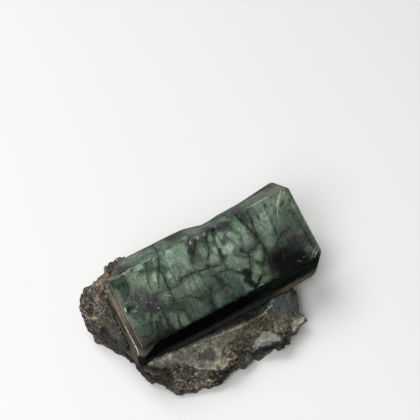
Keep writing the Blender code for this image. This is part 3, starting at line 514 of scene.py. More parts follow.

# Edges and cracks of the slab: (tint, width, strength, places along it). The black ones are clefts, painted
# black as shade.
EDGES = (
    # The pale lines are partly the stone's own pale edges and partly painted highlights, where broken edges
    # catch the light.
    ((160, 163, 154), 0.6, 0.85, ((-42, -19.8, 17.2), (-27.5, -20.5, 15), (-14, -21, 13.4), (-1, -21.8, 12),
        (5.5, -22, 11), (12, -22, 10.8), (18, -22, 10.6), (24, -20.5, 11))),
    ((150, 146, 126), 0.7, 0.6, ((-16.6, -24.3, 12.2), (-14.5, -23.9, 12.6), (-11.6, -24.5, 12),
        (-10, -26.5, 11.6))),
    ((140, 136, 118), 0.6, 0.45, ((-9.6, -28, 11.6), (-10.2, -30.2, 11.4), (-13.3, -31.6, 11.4))),
    ((200, 200, 186), 0.45, 0.8, ((4, -33.9, 8), (7, -34.5, 8.3), (11.5, -35.9, 10.2), (16.6, -38.2, 10.4))),
    ((170, 164, 146), 0.6, 0.6, ((-24.8, -26.7, 11.4), (-22.6, -29.5, 10.6), (-19.3, -31.8, 11),
        (-13.3, -36, 11.2), (-7, -34.4, 11.4), (-4, -34, 10.6))),
    ((58, 62, 66), 1.6, 0.7, ((24, -24.6, 11), (27.6, -22.4, 11), (31, -20.6, 11))),
    ((150, 160, 172), 0.7, 0.75, ((18.6, -19.3, 10.6), (22, -18.9, 11), (25.6, -18.8, 11.4))),
    ((190, 190, 170), 0.5, 0.7, ((26, -35.8, 9), (31, -34.2, 9), (36.6, -31.9, 8))),
    ((176, 160, 134), 0.8, 0.8, ((-52.8, 19, 14), (-50.4, 17.6, 13.6), (-48.4, 14.4, 14.6))),
    (SHADE_BLACK, 1.5, 0.95, ((-52.5, 15.5, 11), (-50.6, 12.6, 11.6), (-49, 9, 12.5))),
    (SHADE_BLACK, 3.2, 1, ((-44.6, -17.4, 16.4), (-43.3, -19.2, 16.7), (-41.2, -21.8, 16.5), (-38.8, -23.6, 15.7),
        (-36.6, -24.9, 14.8), (-34, -26.3, 13.4))),
    (SHADE_BLACK, 2.6, 0.95, ((4, -34.8, 6), (9, -36.2, 7), (14, -37.8, 8), (18, -39.6, 8.4))),
    (SHADE_BLACK, 2.4, 0.9, ((-36, -25.4, 4), (-33.6, -27.4, 3.6), (-31, -29, 3.4))),
    ((150, 142, 122), 1.6, 0.7, ((-30, -28, 6), (-28, -29.8, 4.6))),
    ((170, 162, 140), 0.7, 0.7, ((-21.5, -34.6, 5.4), (-18.6, -36.2, 6.4), (-16.4, -37, 7))),
    ((160, 150, 128), 0.6, 0.6, ((-33.6, -26.6, 12.4), (-31, -27.2, 11.8), (-28.4, -27.6, 11.4),
        (-26, -28.4, 10.8))),
    (SHADE_BLACK, 0.8, 0.8, ((-48, 4, 3), (-46.6, -2, 2.6), (-45, -8, 3), (-43, -14, 5))),
    (SHADE_BLACK, 0.7, 0.7, ((-30, -29, 8), (-24, -32, 6.4), (-17, -36.5, 6.6), (-9, -37.5, 7))),
    (SHADE_BLACK, 0.6, 0.6, ((22, -31, 11), (26, -31.4, 10.6), (30, -31, 9.6))),
)

# How far forward the painted shade of the dark crevice beside the crystal reaches: (x, y).
TROUGH_SHADE_EDGE = ((-44, -19.4), (-25, -20.2), (-14, -20.6), (-1, -21.4),
               (5.5, -21.6), (18, -21.6), (24, -20), (30, -18))


def linear(tint):
    """Screen values, 0 to 255, as linear light."""
    part = np.asarray(tint, float) / 255
    return np.where(part <= 0.04045, part / 12.92, ((part + 0.055) / 1.055) ** 2.4)


def smooth_step(start, end, value):
    """0 at start, 1 at end, level beyond them and smooth between. For a fall, start is the higher."""
    share = np.clip((value - start) / (end - start), 0.0, 1.0)
    return share * share * (3 - 2 * share)


def blend(first, second, share):
    """Mixes two colours, or one colour for each point."""
    share = np.asarray(share)[:, None]
    return first * (1 - share) + second * share


def dim(tint, share):
    """The tint with this share of its light taken away at each point."""
    return tint * (1 - share)[:, None]


def expose(tint, stops):
    """The tint made this many stops lighter at each point."""
    return tint * np.exp2(stops)[:, None]


def noise_at(points, size, seed=0.0, stretch=(1.0, 1.0, 1.0)):
    """Smooth noise from about -1 to 1 at each point, in lumps of this size."""
    places = points * np.asarray(stretch) / size + seed
    return np.array([noise.noise(Vector(place)) for place in places])


def cloud(points, size, octaves, seed=0.0, stretch=(1.0, 1.0, 1.0)):
    """Noise with finer noise on it."""
    total, weight = 0.0, 1.0
    for octave in range(octaves):
        total = total + weight * noise_at(points, size / 2**octave, seed + 11.3 * octave, stretch)
        weight *= 0.55
    return total


def flakes(points, size, flatness, seed=0.0):
    """Small tilted facets, each a plane of its own: their height, and a number from 0 to 1 for each."""
    height = np.empty(len(points))
    shade = np.empty(len(points))
    scale = np.array((1.0, 1.0, flatness)) / size
    for index, place in enumerate(points * scale + seed):
        spot = Vector(place)
        centre = noise.voronoi(spot)[1][0]
        tilt = noise.cell_vector(centre * 53.0) - Vector((0.5, 0.5, 0.5))
        height[index] = 2.0 * tilt.dot(spot - centre) + 0.8 * (noise.cell(centre * 31.0) - 0.5)
        shade[index] = noise.cell(centre * 17.0)
    return height, shade


def get_points(mesh):
    """The mesh's vertices in millimetres."""
    flat = np.empty(len(mesh.vertices) * 3, np.float32)
    mesh.vertices.foreach_get("co", flat)
    return flat.reshape(-1, 3).astype(float) / MM


def set_points(mesh, points):
    mesh.vertices.foreach_set("co", (points * MM).astype(np.float32).ravel())
    mesh.update()


def get_normals(mesh):
    flat = np.empty(len(mesh.vertices) * 3, np.float32)
    mesh.vertex_normals.foreach_get("vector", flat)
    return flat.reshape(-1, 3).astype(float)


def dense_copy(node, name, cell):
    """A finely and evenly meshed copy of a CAD node, with its points on the node's own surface."""
    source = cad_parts[node]
    piece = bpy.data.objects.new(name, source.data.copy())
    bpy.context.scene.collection.objects.link(piece)
    remesh = piece.modifiers.new("even", "REMESH")
    remesh.mode = "VOXEL"
    remesh.voxel_size = cell * MM
    bpy.context.view_layer.update()
    graph = bpy.context.evaluated_depsgraph_get()
    mesh = bpy.data.meshes.new_from_object(piece.evaluated_get(graph))
    piece.modifiers.clear()
    piece.data = mesh
    mesh.name = name
    mesh.materials.clear()
    surface = BVHTree.FromObject(source, graph)
    points = get_points(mesh)
    for index, point in enumerate(points):
        nearest = surface.find_nearest(Vector(point) * MM)[0]
        if nearest:
            points[index] = np.array(nearest) / MM
    set_points(mesh, points)
    mesh.shade_smooth()
    return piece


def face_means(mesh, values):
    """The mean over each face of a number kept for each vertex."""
    corners = np.empty(len(mesh.loops), np.int32)
    mesh.loops.foreach_get("vertex_index", corners)
    starts = np.empty(len(mesh.polygons), np.int32)
    mesh.polygons.foreach_get("loop_start", starts)
    counts = np.diff(np.append(starts, len(corners)))
    return np.add.reduceat(values[corners], starts) / counts


def paint(mesh, layers):
    """Keeps a number or a colour for each vertex, under each name."""
    for name, values in layers.items():
        if values.ndim == 2:
            layer = mesh.attributes.new(name, "FLOAT_COLOR", "POINT")
            rows = np.concatenate([values, np.ones((len(values), 1))], axis=1)
            layer.data.foreach_set("color", rows.astype(np.float32).ravel())
        else:
            layer = mesh.attributes.new(name, "FLOAT", "POINT")
            layer.data.foreach_set("value", values.astype(np.float32))


def long_faces():
    """The crystal's long faces: (corner, direction across, width, girth at the corner) from the ridge on."""
    corner = np.array(RIDGE)
    rise = math.radians(BROAD_FACE_RISE)
    total = sum(FACE_WIDTHS)
    girth = 0.0
    faces = []
    for width in FACE_WIDTHS:
        across = np.array((-math.sin(rise), -math.cos(rise)))
        faces.append((corner, across, width, girth if girth < total / 2 else girth - total))
        corner = corner + width * across
        girth += width
        rise -= math.radians(HEXAGON_TURN)
    return faces


def girth_of(points):
    """How far round the crystal each point is. The broad face is measured up from its lower edge."""
    faces = long_faces()
    pivot = faces[1][0]
    share = np.maximum(points[:, 0] - SWELL_START, 0.0) / (WORN_END_X - SWELL_START)
    swell = SWELL * share**2
    plain = pivot + (points[:, 1:] - pivot) / (1 + swell)[:, None]
    girth = np.zeros(len(points))
    least = np.full(len(points), np.inf)
    for corner, across, width, start in faces:
        offset = plain - corner
        along = np.clip(offset @ across, 0.0, width)
        away = np.linalg.norm(offset - along[:, None] * across, axis=1)
        nearer = away < least
        girth[nearer] = (start + along)[nearer]
        least[nearer] = away[nearer]
    return np.where(girth < FRONT_EDGE, FRONT_EDGE - (FRONT_EDGE - girth) * (1 + swell), girth)


def from_leg(places, start, end):
    """The way to each place from the nearest point of a straight leg."""
    leg = np.subtract(end, start)
    offset = places - np.array(start)
    along = np.clip(offset @ leg / (leg @ leg), 0.0, 1.0)
    return offset - along[:, None] * leg


def nearest_line(places, lines):
    """How many widths off the nearest line is, signed by its side, and that line's strength."""
    near = np.full(len(places), FAR)
    strengths = np.zeros(len(places))
    for width, strength, route in lines:
        for start, end in zip(route, route[1:]):
            leg = np.subtract(end, start)
            away = from_leg(places, start, end)
            distance = np.linalg.norm(away, axis=1) / width
            side = np.where(leg[0] * away[:, 1] < leg[1] * away[:, 0], -1.0, 1.0)
            nearer = distance < np.abs(near)
            near[nearer] = (side * distance)[nearer]
            strengths[nearer] = strength
    return near, strengths


def inside_share(places, outline, softness):
    """How far inside the outline each (x, y) place is: 0 outside, 1 inside, with an edge this soft."""
    inside = np.zeros(len(places), bool)
    near = np.full(len(places), np.inf)
    for start, end in zip(outline, outline[1:] + outline[:1]):
        near = np.minimum(near, np.linalg.norm(from_leg(places, start, end), axis=1))
        leg = np.subtract(end, start)
        offset = places - np.array(start)
        if leg[1]:
            crosses = (offset[:, 1] < 0) != (places[:, 1] < end[1])
            inside ^= crosses & (offset[:, 0] < offset[:, 1] * leg[0] / leg[1])
    return smooth_step(-softness, softness, np.where(inside, near, -near))


def edge_share(points, width, route):
    """How much an edge line of this width covers each point, 0 to 1."""
    near = np.full(len(points), np.inf)
    for start, end in zip(route, route[1:]):
        away = from_leg(points, start, end) * np.array((1.0, 1.0, 0.5))
        near = np.minimum(near, np.linalg.norm(away, axis=1))
    return 1 - smooth_step(0.3 * width, 0.9 * width, near)


def add_patches(tint, places, ragged):
    """Paints the cloudy patches, in their order, over the tint."""
    for patch_tint, patch_x, patch_girth, half_x, half_girth, turn, strength in PATCHES:
        offset = places - np.array((patch_x, patch_girth))
        cosine, sine = math.cos(math.radians(turn)), math.sin(math.radians(turn))
        u = (cosine * offset[:, 0] + sine * offset[:, 1]) / half_x
        v = (cosine * offset[:, 1] - sine * offset[:, 0]) / half_girth
        mask = strength * (1 - smooth_step(0.55, 1.25, np.hypot(u, v) + ragged))
        tint = blend(tint, linear(patch_tint), mask)
    return tint


def mottling(points, girth):
    """Fine leaning streaks, with level lanes on the top face, in stops."""
    x = points[:, 0]
    lean = np.stack([x + 0.3 * girth, 0.14 * girth, 0.14 * points[:, 2]], axis=1)
    lanes = noise_at(np.stack([0.06 * x, girth, 0 * x], axis=1), 0.8, 33.0)
    stops = 0.12 + 0.3 * cloud(points, 2.2, 3, 55.0) + 0.22 * cloud(lean, 1.5, 2, 15.0)
    return stops + (0.5 * lanes - 0.35) * smooth_step(0.2, -1.0, girth)


def crystal_tint(points, girth):
    """The crystal's colour at each point, its nearest vein, its nearest pale line, scratched ones and
    painted highlights alike, and how full of mica it is.
    """
    x = points[:, 0]
    places = np.stack([x, girth], axis=1)
    coarse = np.stack([cloud(points, 5.0, 2, 3.0), cloud(points, 5.0, 2, 71.0)], axis=1)
    fine = np.stack([noise_at(points, 1.4, 23.0), noise_at(points, 1.4, 87.0)], axis=1)
    ragged = 0.2 * cloud(points, 2.6, 3, 130.0)
    tone = cloud(points, 12.0, 4, 9.0, (0.8, 1.0, 1.0))
    tint = blend(linear(DEEP), linear(TEAL), smooth_step(-0.8, -0.2, tone))
    tint = blend(tint, linear(CELADON), 0.8 * smooth_step(-0.2, 0.4, tone))
    tint = blend(tint, linear(SMOKE), 0.8 * smooth_step(0.25, 0.6, cloud(points, 18.0, 3, 40.0)))
    tint = add_patches(tint, places + 0.35 * coarse + 0.16 * fine, ragged)
    tint = expose(tint, mottling(points, girth))
    for tone_x, tone_girth, half_x, half_girth, stops in TONES:
        away = np.hypot((x - tone_x) / half_x, (girth - tone_girth) / half_girth)
        tint = expose(tint, stops * smooth_step(1.6, 0.4, away))
    # Darker towards the lower part of the broad face; right along its lower edge, painted shade where it
    # turns under into the shaded wall.
    tint = dim(tint, 0.2 * smooth_step(12.0, 30.0, girth) * smooth_step(45.0, 20.0, x))
    tint = dim(tint, 0.75 * smooth_step(1.8, 0.2, FRONT_EDGE - girth + 4.0 * ragged))
    veins = nearest_line(places + 0.3 * coarse + 0.2 * fine, VEINS)
    scratches_and_highlights = nearest_line(places + 0.1 * coarse, SCRATCHES_AND_HIGHLIGHTS)
    tint = dim(tint, 0.3 * veins[1] * smooth_step(3.2, 0.4, np.abs(veins[0])))
    mica = np.hypot((x - MICA_X) / MICA_LENGTH, (girth - MICA_GIRTH) / MICA_WIDTH) + ragged
    return tint, veins, scratches_and_highlights, 1 - smooth_step(0.6, 1.2, mica)


def crystal_regions(points, girth, rough):
    """How much each point belongs to the dark wall, the worn end, the slanted band and the cut."""
    x = points[:, 0]
    # By the cut end the broad face's stone carries on down over the rounded corner.
    drop = 5.5 * smooth_step(-35.0, -41.0, x)
    wall = smooth_step(FRONT_EDGE - 0.7, FRONT_EDGE + 0.5, girth - drop + 1.2 * rough)
    worn = smooth_step(50.4, 52.4, x + rough)
    band = smooth_step(-0.25, 0.15, BAND_EDGE_X - x + 0.3 * rough)
    cut = smooth_step(CUT_END_X + 0.25, CUT_END_X + 0.05, x)
    return wall, worn, band, cut


def wall_skin_and_shade_tint(points, girth, rough):
    """The near-black mica skin below the broad face, darkened further with painted shade, greener and then
    browner towards the worn end.
    """
    x = points[:, 0]
    down = girth - FRONT_EDGE + 2 * rough
    gleam = smooth_step(-0.4, 0.5, cloud(points, 5.0, 3, 77.0, (0.4, 1.0, 1.0)))
    shine = smooth_step(-0.3, 0.8, cloud(points, 3.0, 3, 19.0, (0.4, 1.0, 1.0)))
    tint = blend(linear(BLACK), linear(INK), shine)
    tint = blend(tint, linear(GLEAM), 0.7 * smooth_step(4.0, 22.0, x) * gleam)
    # Painted shade: the wall is darkest towards the cut end.
    tint = tint * (0.12 + 0.5 * smooth_step(6.0, 24.0, x))[:, None]
    tint = blend(tint, linear(WALL_GREY), smooth_step(7.5, 13.0, down))
    return blend(tint, linear(HEM), smooth_step(9.0, 12.0, down) * smooth_step(24.0, 34.0, x))


def band_tint(bevel, girth, rough, speckle):
    """The slanted band of polished schist. The bevel is how far past the band's edge a point is."""
    tint = blend(linear(BAND_DARK), linear(BAND_LIGHT), smooth_step(0.5, 1.3, bevel + 0.5 * rough))
    tint = blend(tint, linear(TAN), 0.4 * smooth_step(6.0, 10.0, girth) * smooth_step(22.0, 16.0, girth))
    tint = blend(tint, linear(UMBER), 0.85 * smooth_step(16.0, 24.0, girth) * smooth_step(2.2, 1.7, bevel))
    tint = expose(tint, speckle * (0.35 + 0.9 * smooth_step(12.0, 4.0, girth)))
    below = smooth_step(FRONT_EDGE + 5.5, FRONT_EDGE + 7.0, girth + rough)
    return blend(tint, 0.4 * linear(DARK_GREY), below)


def cut_tint(points, rough, speckle, wave):
    """The slab's stone, which covers the cut."""
    tint = blend(linear(CUT_LIGHT), linear(CUT_DARK), smooth_step(16.0, 30.0, points[:, 2] + 8 * rough))
    tint = blend(tint, linear(CUT_GREEN), 0.6 * smooth_step(0.1, 0.6, wave))
    return expose(tint, 0.7 * speckle)


def crystal_piece():
    """The polished crystal, painted with its clouds, veins, mica and schist band, with painted shade on its
    dark wall and painted highlights and glints.
    """
    piece = dense_copy("emerald_crystal", "polished_emerald", CRYSTAL_CELL)
    mesh = piece.data
    points = get_points(mesh)
    normals = get_normals(mesh)
    girth = girth_of(points)
    bevel = BAND_EDGE_X - points[:, 0]
    rough = 0.5 * cloud(points, 3.0, 3, 90.0)
    speckle = cloud(points, 1.3, 3, 66.0)
    wave = cloud(points, 6.0, 2, 52.0)
    wall, worn, band, cut = crystal_regions(points, girth, rough)
    tint, veins, scratches_and_highlights, mica = crystal_tint(points, girth)
    # The dark wall: mica skin with painted shade.
    tint = blend(tint, wall_skin_and_shade_tint(points, girth, rough), wall)
    # The worn end is browner, with a thin skin of mica.
    skin = blend(linear(UMBER), linear(SAGE), smooth_step(-0.5, 0.4, cloud(points, 1.8, 3, 29.0)))
    tint = blend(tint, 0.6 * skin + 0.4 * tint, 0.65 * worn)
    tint = blend(tint, band_tint(bevel, girth, rough, speckle), band)
    tint = blend(tint, cut_tint(points, rough, speckle, wave), cut)
    # The pale line along the band's edge is a painted highlight.
    rim_highlight = np.abs(bevel - RIM_HIGHLIGHT_LINE + 0.1 * wave) / RIM_HIGHLIGHT_WIDTH
    rim_highlight_depth = smooth_step(18.0, 26.0, girth) * smooth_step(FRONT_EDGE + 7.0, FRONT_EDGE + 5.0, girth)
    on_rim_highlight = (rim_highlight < np.abs(scratches_and_highlights[0])) & (band > 0)
    layers = {
        "tint": tint,
        "vein": veins[0],
        "vein_depth": veins[1] * (1 - wall) * (1 - band),
        "scratch_and_highlight": np.where(on_rim_highlight, rim_highlight, scratches_and_highlights[0]),
        "scratch_and_highlight_depth": np.where(on_rim_highlight, rim_highlight_depth, scratches_and_highlights[1] * (1 - wall)) * (1 - cut),
        "mica": mica,
        "bevel": band * (1 - cut) * smooth_step(FRONT_EDGE + 6.0, FRONT_EDGE + 4.5, girth),
    }
    paint(mesh, layers)
    relief = 0.06 * cloud(points, 7.0, 2, 20.0) - 0.12 * worn * np.abs(rough)
    relief -= 0.1 * veins[1] * smooth_step(0.9, 0.2, np.abs(veins[0]))
    pits = smooth_step(0.15, 0.5, noise_at(points, 1.1, 47.0))
    relief -= 0.12 * pits * (mica + worn) * (1 - band)
    relief += 0.3 * cut * cloud(points, 2.4, 3, 35.0)
    # Small chips along the ridge.
    relief -= 0.7 * smooth_step(1.6, 0.2, np.abs(girth)) * smooth_step(0.2, 0.6, noise_at(points, 2.4, 14.0))
    set_points(mesh, points + normals * relief[:, None])
    dull = (face_means(mesh, wall) > 0.5) | (face_means(mesh, cut) > 0.5)
    hazy = face_means(mesh, girth) < -0.6
    mesh.materials.append(emerald_material("cloudy_emerald", 0.32, 0.3, 0.08))
    mesh.materials.append(dull_material())
    mesh.materials.append(emerald_material("worn_emerald", 0.55, 0.25, 0.0))
    index = np.where(dull, 1, np.where(hazy, 2, 0)).astype(np.int32)
    mesh.polygons.foreach_set("material_index", index)
    mesh.update()
    return piece


def stone_faces(points, tint, grain):
    """Adds the slab's flat faces, edges and clefts to its tint and grain, and says how far they sink it and
    how much painted shade darkens the clefts.
    """
    waver = np.stack([noise_at(points, 1.6, 61.0), noise_at(points, 1.6, 91.0)], axis=1)
    waver += 0.6 * np.stack([noise_at(points, 0.7, 62.0), noise_at(points, 0.7, 92.0)], axis=1)
    wavy = points + 0.5 * np.concatenate([waver, waver[:, :1]], axis=1)
    streaks = cloud(points, 1.7, 3, 28.0, (0.35, 1.0, 1.0))
    sink = np.zeros(len(points))
    cleft_shade = np.zeros(len(points))
    for face_tint, strength, granular, low, outline in FACES:
        mask = inside_share(points[:, :2] + 0.7 * waver, outline, 0.35)
        mask *= strength * smooth_step(low - 1.0, low + 0.5, points[:, 2])
        tint = blend(tint, expose(linear(face_tint), 0.45 * streaks), mask)
        grain = grain * (1 - mask) + granular * mask
        if granular == POLISHED:
            sink += 0.35 * mask
    for edge_tint, width, strength, route in EDGES:
        share = edge_share(wavy, width, route)
        # Black clefts sink the stone and take painted shade.
        if edge_tint is SHADE_BLACK:
            sink += 0.35 * width * share
            cleft_shade = np.maximum(cleft_shade, strength * share)
        else:
            tint = blend(tint, linear(edge_tint), share * np.clip(strength * (0.9 + 0.6 * streaks), 0, 1))
        grain = grain * (1 - share)
    return tint, grain, sink, cleft_shade


def stone_relief(points, normals, grain, sink):
    """How far the broken stone stands out at each point, and how light its grains are, in stops, with
    painted shade in its hollows and painted light on its raised points.
    """
    big, big_shade = flakes(points, 2.6, 1.8)
    small, small_shade = flakes(points, 1.1, 1.8, 7.0)
    dust = cloud(points, 0.9, 2, 30.0)
    beds = noise_at(points, 1.3, 44.0, (0.12, 0.12, 1.0)) * (1 - np.abs(normals[:, 2]))
    relief = grain * (0.44 * big + 0.26 * small + 0.18 * dust) + (1 - grain) * (0.16 * big + 0.05 * dust)
    relief += 0.16 * beds - sink
    relief *= smooth_step(0.2, 2.6, points[:, 2])
    value = 0.5 * (big_shade - 0.5) + 0.9 * (small_shade - 0.5) * (0.4 + 0.6 * grain)
    # Painted light and shade: raised points lighter, hollows darker.
    value += np.clip(relief + sink, -0.7, 0.7) + 0.5 * dust * grain + 0.35 * beds
    return relief, value * (0.35 + 0.65 * grain)


def trough_shade_share(points, ragged):
    """How much each point lies in the painted shade of the crevice between the crystal and the ledge."""
    edge_x, edge_y = np.array(TROUGH_SHADE_EDGE).T
    into = points[:, 1] - np.interp(points[:, 0], edge_x, edge_y) + 0.6 * ragged
    trough_shade = smooth_step(-0.3, 2.0, into) * smooth_step(-2.0, -6.0, points[:, 1])
    return trough_shade * smooth_step(28.0, 22.0, points[:, 0])


def matrix_piece():
    """The broken schist slab, painted with its layers, facets and regions of different stone, with painted
    shade in its clefts, hollows and the crevice beside the crystal, and painted light on its raised grains.
    """
    piece = dense_copy("schist_matrix", "mica_schist_slab", MATRIX_CELL)
    mesh = piece.data
    points = get_points(mesh)
    normals = get_normals(mesh)
    ragged = 0.3 * cloud(points, 3.6, 3, 12.0)
    tone = cloud(points, 8.0, 3, 5.0)
    tint = blend(linear(UMBER), linear(TAUPE), smooth_step(-0.7, 0.7, tone))
    grain = np.clip(0.8 + 0.5 * cloud(points, 6.0, 2, 41.0), 0.3, 1.0)
    for stone_tint, centre, half_lengths, strength, granular in STONE:
        reach = np.linalg.norm((points - np.array(centre)) / np.array(half_lengths), axis=1) + ragged
        mask = strength * (1 - smooth_step(0.7, 1.15, reach))
        tint = blend(tint, linear(stone_tint), mask)
        grain = grain * (1 - mask) + granular * mask
    tint, grain, sink, cleft_shade = stone_faces(points, tint, grain)
    relief, value = stone_relief(points, normals, grain, sink)
    trough_shade = trough_shade_share(points, ragged)
    # Painted shade in the crevice beside the crystal.
    tint = blend(tint, linear(TROUGH_SHADE), 0.95 * trough_shade)
    grain = grain * (1 - 0.8 * trough_shade)
    # The grains' lightness, which carries painted light and shade from the relief.
    tint = expose(tint, 0.6 + 1.4 * value + 0.45 * tone)
    # Painted shade in the clefts.
    tint = dim(tint, 0.94 * cleft_shade)
    paint(mesh, {"tint": np.clip(tint, 0.002, 0.7), "grain": np.clip(grain, 0, 1)})
    set_points(mesh, points + normals * relief[:, None])
    mesh.materials.append(schist_material())
    return piece


class Nodes:
    """Adds nodes to a material of its own."""

    def __init__(self, name):
        self.material = bpy.data.materials.new(name)
        self.material.use_nodes = True
        self.tree = self.material.node_tree
        self.shader = self.tree.nodes["Principled BSDF"]
        self.place = self.add("ShaderNodeTexCoord").outputs["Object"]

    def add(self, kind, inputs=(), **settings):
        made = self.tree.nodes.new(kind)
        for key, value in settings.items():
            setattr(made, key, value)
        for key, value in dict(inputs).items():
            self.put(made.inputs[key], value)
        return made

    def put(self, socket, value):
        if isinstance(value, bpy.types.NodeSocket):
            self.tree.links.new(value, socket)
        else:
            socket.default_value = value

    def wire(self, **values):
        """Sets the shader's own sockets, such as Base_Color, and gives the material."""
        for name, value in values.items():
            self.put(self.shader.inputs[name.replace("_", " ")], value)
        return self.material

    def attribute(self, name):
        made = self.add("ShaderNodeAttribute", attribute_name=name)
        return made.outputs["Color" if name == "tint" else "Fac"]

    def sum(self, operation, *values, kind="ShaderNodeMath"):
        made = self.add(kind, operation=operation)
        for socket, value in zip(made.inputs, values):
            self.put(socket, value)
        return made.outputs[0]

    def vector(self, operation, *values):
        return self.sum(operation, *values, kind="ShaderNodeVectorMath")

    def product(self, first, *others):
        for other in others:
            first = self.sum("MULTIPLY", first, other)
        return first

    def without(self, share):
        return self.sum("SUBTRACT", 1.0, share)

    def scaled(self, value, factor):
        """A colour or direction times a number."""
        made = self.add("ShaderNodeVectorMath", {"Scale": factor}, operation="SCALE")
        self.put(made.inputs[0], value)
        return made.outputs[0]

    def centred(self, value):
        """A colour or direction from 0 to 1, as one from -0.5 to 0.5."""
        return self.vector("SUBTRACT", value, (0.5, 0.5, 0.5))

    def mix(self, share, first, second):
        made = self.add("ShaderNodeMix", data_type="RGBA")
        self.put(made.inputs["Factor"], share)
        self.put(made.inputs[6], first)
        self.put(made.inputs[7], (*linear(second), 1.0))
        return made.outputs[2]

    def ramp(self, value, low, high, to_low, to_high):
        """The value's range from low to high, as the range from to_low to to_high."""
        inputs = {"Value": value, "From Min": low, "From Max": high, "To Min": to_low, "To Max": to_high}
        return self.add("ShaderNodeMapRange", inputs).outputs[0]

    def noise(self, size, detail=3.0, place=None, roughness=0.55):
        """Smooth noise from 0 to 1, in lumps of this size."""
        inputs = {"Vector": place or self.place, "Scale": 1 / (size * MM)}
        return self.add("ShaderNodeTexNoise", inputs | {"Detail": detail, "Roughness": roughness})

    def grains(self, size, detail, to_low, to_high, place=None, roughness=0.55):
        """Noise with its middle range as the range from to_low to to_high."""
        return self.ramp(self.noise(size, detail, place, roughness).outputs[0], 0.3, 0.7, to_low, to_high)

    def stretched(self, place, scale, turn=(0, 0, 0)):
        made = self.add("ShaderNodeMapping", {"Vector": place, "Scale": scale})
        made.inputs["Rotation"].default_value = [math.radians(part) for part in turn]
        return made.outputs[0]

    def warped(self, size, amount):
        """The place, moved about by noise."""
        wave = self.noise(size, 2.0).outputs["Color"]
        return self.vector("MULTIPLY_ADD", self.centred(wave), (amount * MM,) * 3, self.place)

    def cells(self, place, scale, feature="F1"):
        """Random cells, this many to a millimetre along each axis."""
        inputs = {"Vector": self.stretched(place, scale), "Scale": 1 / MM}
        return self.add("ShaderNodeTexVoronoi", inputs, feature=feature)

    def split(self, colour):
        return self.add("ShaderNodeSeparateColor", {"Color": colour}).outputs

    def line(self, name, core, ragged, broken):
        """A painted line, full out to its core, and how deep it is at each point."""
        away = self.sum("ABSOLUTE", self.sum("ADD", self.attribute(name), ragged))
        share = self.ramp(away, core, core + LINE_SOFTNESS, 1.0, 0.0)
        return self.product(share, broken, self.attribute(name + "_depth"))

    def bump(self, height, distance):
        return self.add("ShaderNodeBump", {"Height": height, "Distance": distance * MM}).outputs[0]


def hairline_cracks(n):
    """A wide net of cracks in some places, and a finer and fainter one in the others."""
    warp = n.warped(3.0, 2.6)
    wide = n.cells(warp, (0.34, 0.15, 0.15), "DISTANCE_TO_EDGE").outputs["Distance"]
    thin = n.cells(warp, (0.8, 0.42, 0.42), "DISTANCE_TO_EDGE").outputs["Distance"]
    where = n.ramp(n.noise(9.0, 2.0).outputs[0], 0.42, 0.62, 0.0, 1.0)
    wide_net = n.product(n.ramp(wide, 0.0, 0.05, 0.55, 0.0), where)
    thin_net = n.product(n.ramp(thin, 0.0, 0.08, 0.32, 0.0), n.without(where))
    return n.sum("MAXIMUM", wide_net, thin_net)


def mica_glints(n):
    """Painted glints: scattered white dots on the mica, where the mica is painted."""
    flake = n.cells(n.place, (1.5, 1.5, 1.5))
    dot = n.ramp(flake.outputs["Distance"], 0.16, 0.3, 1.0, 0.0)
    chosen = n.sum("GREATER_THAN", n.split(flake.outputs["Color"])[0], 0.84)
    return n.product(dot, chosen, n.attribute("mica"), 0.5)


def emerald_material(name, roughness, specular, coat):
    """Cloudy beryl: fine mottling, veins, scratched lines and painted highlights, a net of hairline cracks,
    and painted glints of mica.
    """
    n = Nodes(name)
    fine = n.grains(1.1, 4.0, 0.74, 1.34, roughness=0.65)
    streak = n.grains(0.8, 3.0, 0.8, 1.22, n.stretched(n.place, (1.0, 0.16, 0.16), (0, 18, 8)))
    cracks = hairline_cracks(n)
    tint = n.scaled(n.attribute("tint"), n.product(fine, streak, n.without(cracks)))
    # Veins, scratched lines and painted highlights, ragged along their sides and broken along their length.
    ragged = n.grains(0.6, 3.0, -0.4, 0.4)
    broken = n.ramp(n.noise(2.2, 3.0).outputs[0], 0.36, 0.6, 0.55, 1.4)
    vein = n.line("vein", 0.12, ragged, broken)
    scratch_and_highlight = n.line("scratch_and_highlight", 0.1, ragged, broken)
    tint = n.mix(n.sum("MINIMUM", vein, 0.95), tint, VEIN)
    tint = n.mix(n.sum("MINIMUM", scratch_and_highlight, 0.8), tint, SCRATCH_AND_HIGHLIGHT)
    # Stripes along the schist band.
    along = n.stretched(n.place, (2.4, 0.05, 0.05))
    stripe = n.ramp(n.noise(0.9, 3.0, along).outputs[0], 0.35, 0.65, -0.35, 0.4)
    tint = n.scaled(tint, n.sum("MULTIPLY_ADD", n.attribute("bevel"), stripe, 1.0))
    tint = n.mix(mica_glints(n), tint, WHITE)
    rough = n.sum("MULTIPLY_ADD", vein, 0.35, n.grains(2.0, 3.0, roughness - 0.05, roughness + 0.08))
    height = n.sum("SUBTRACT", n.product(fine, 0.3), n.product(cracks, 1.2))
    return n.wire(
        Base_Color=tint,
        Roughness=rough,
        Specular_IOR_Level=specular,
        Coat_Weight=coat,
        Coat_Roughness=0.12,
        Normal=n.bump(height, 0.06),
    )


def dull_material():
    """The dark mica skin that the crystal's lower faces keep, with painted shade in its colour."""
    n = Nodes("dark_mica_skin_and_shade")
    fine = n.grains(0.9, 4.0, 0.5, 1.6, roughness=0.7)
    return n.wire(
        Base_Color=n.scaled(n.attribute("tint"), fine),
        Roughness=n.ramp(fine, 0.5, 1.6, 0.9, 0.6),
        Specular_IOR_Level=0.02,
        Normal=n.bump(fine, 0.15),
    )


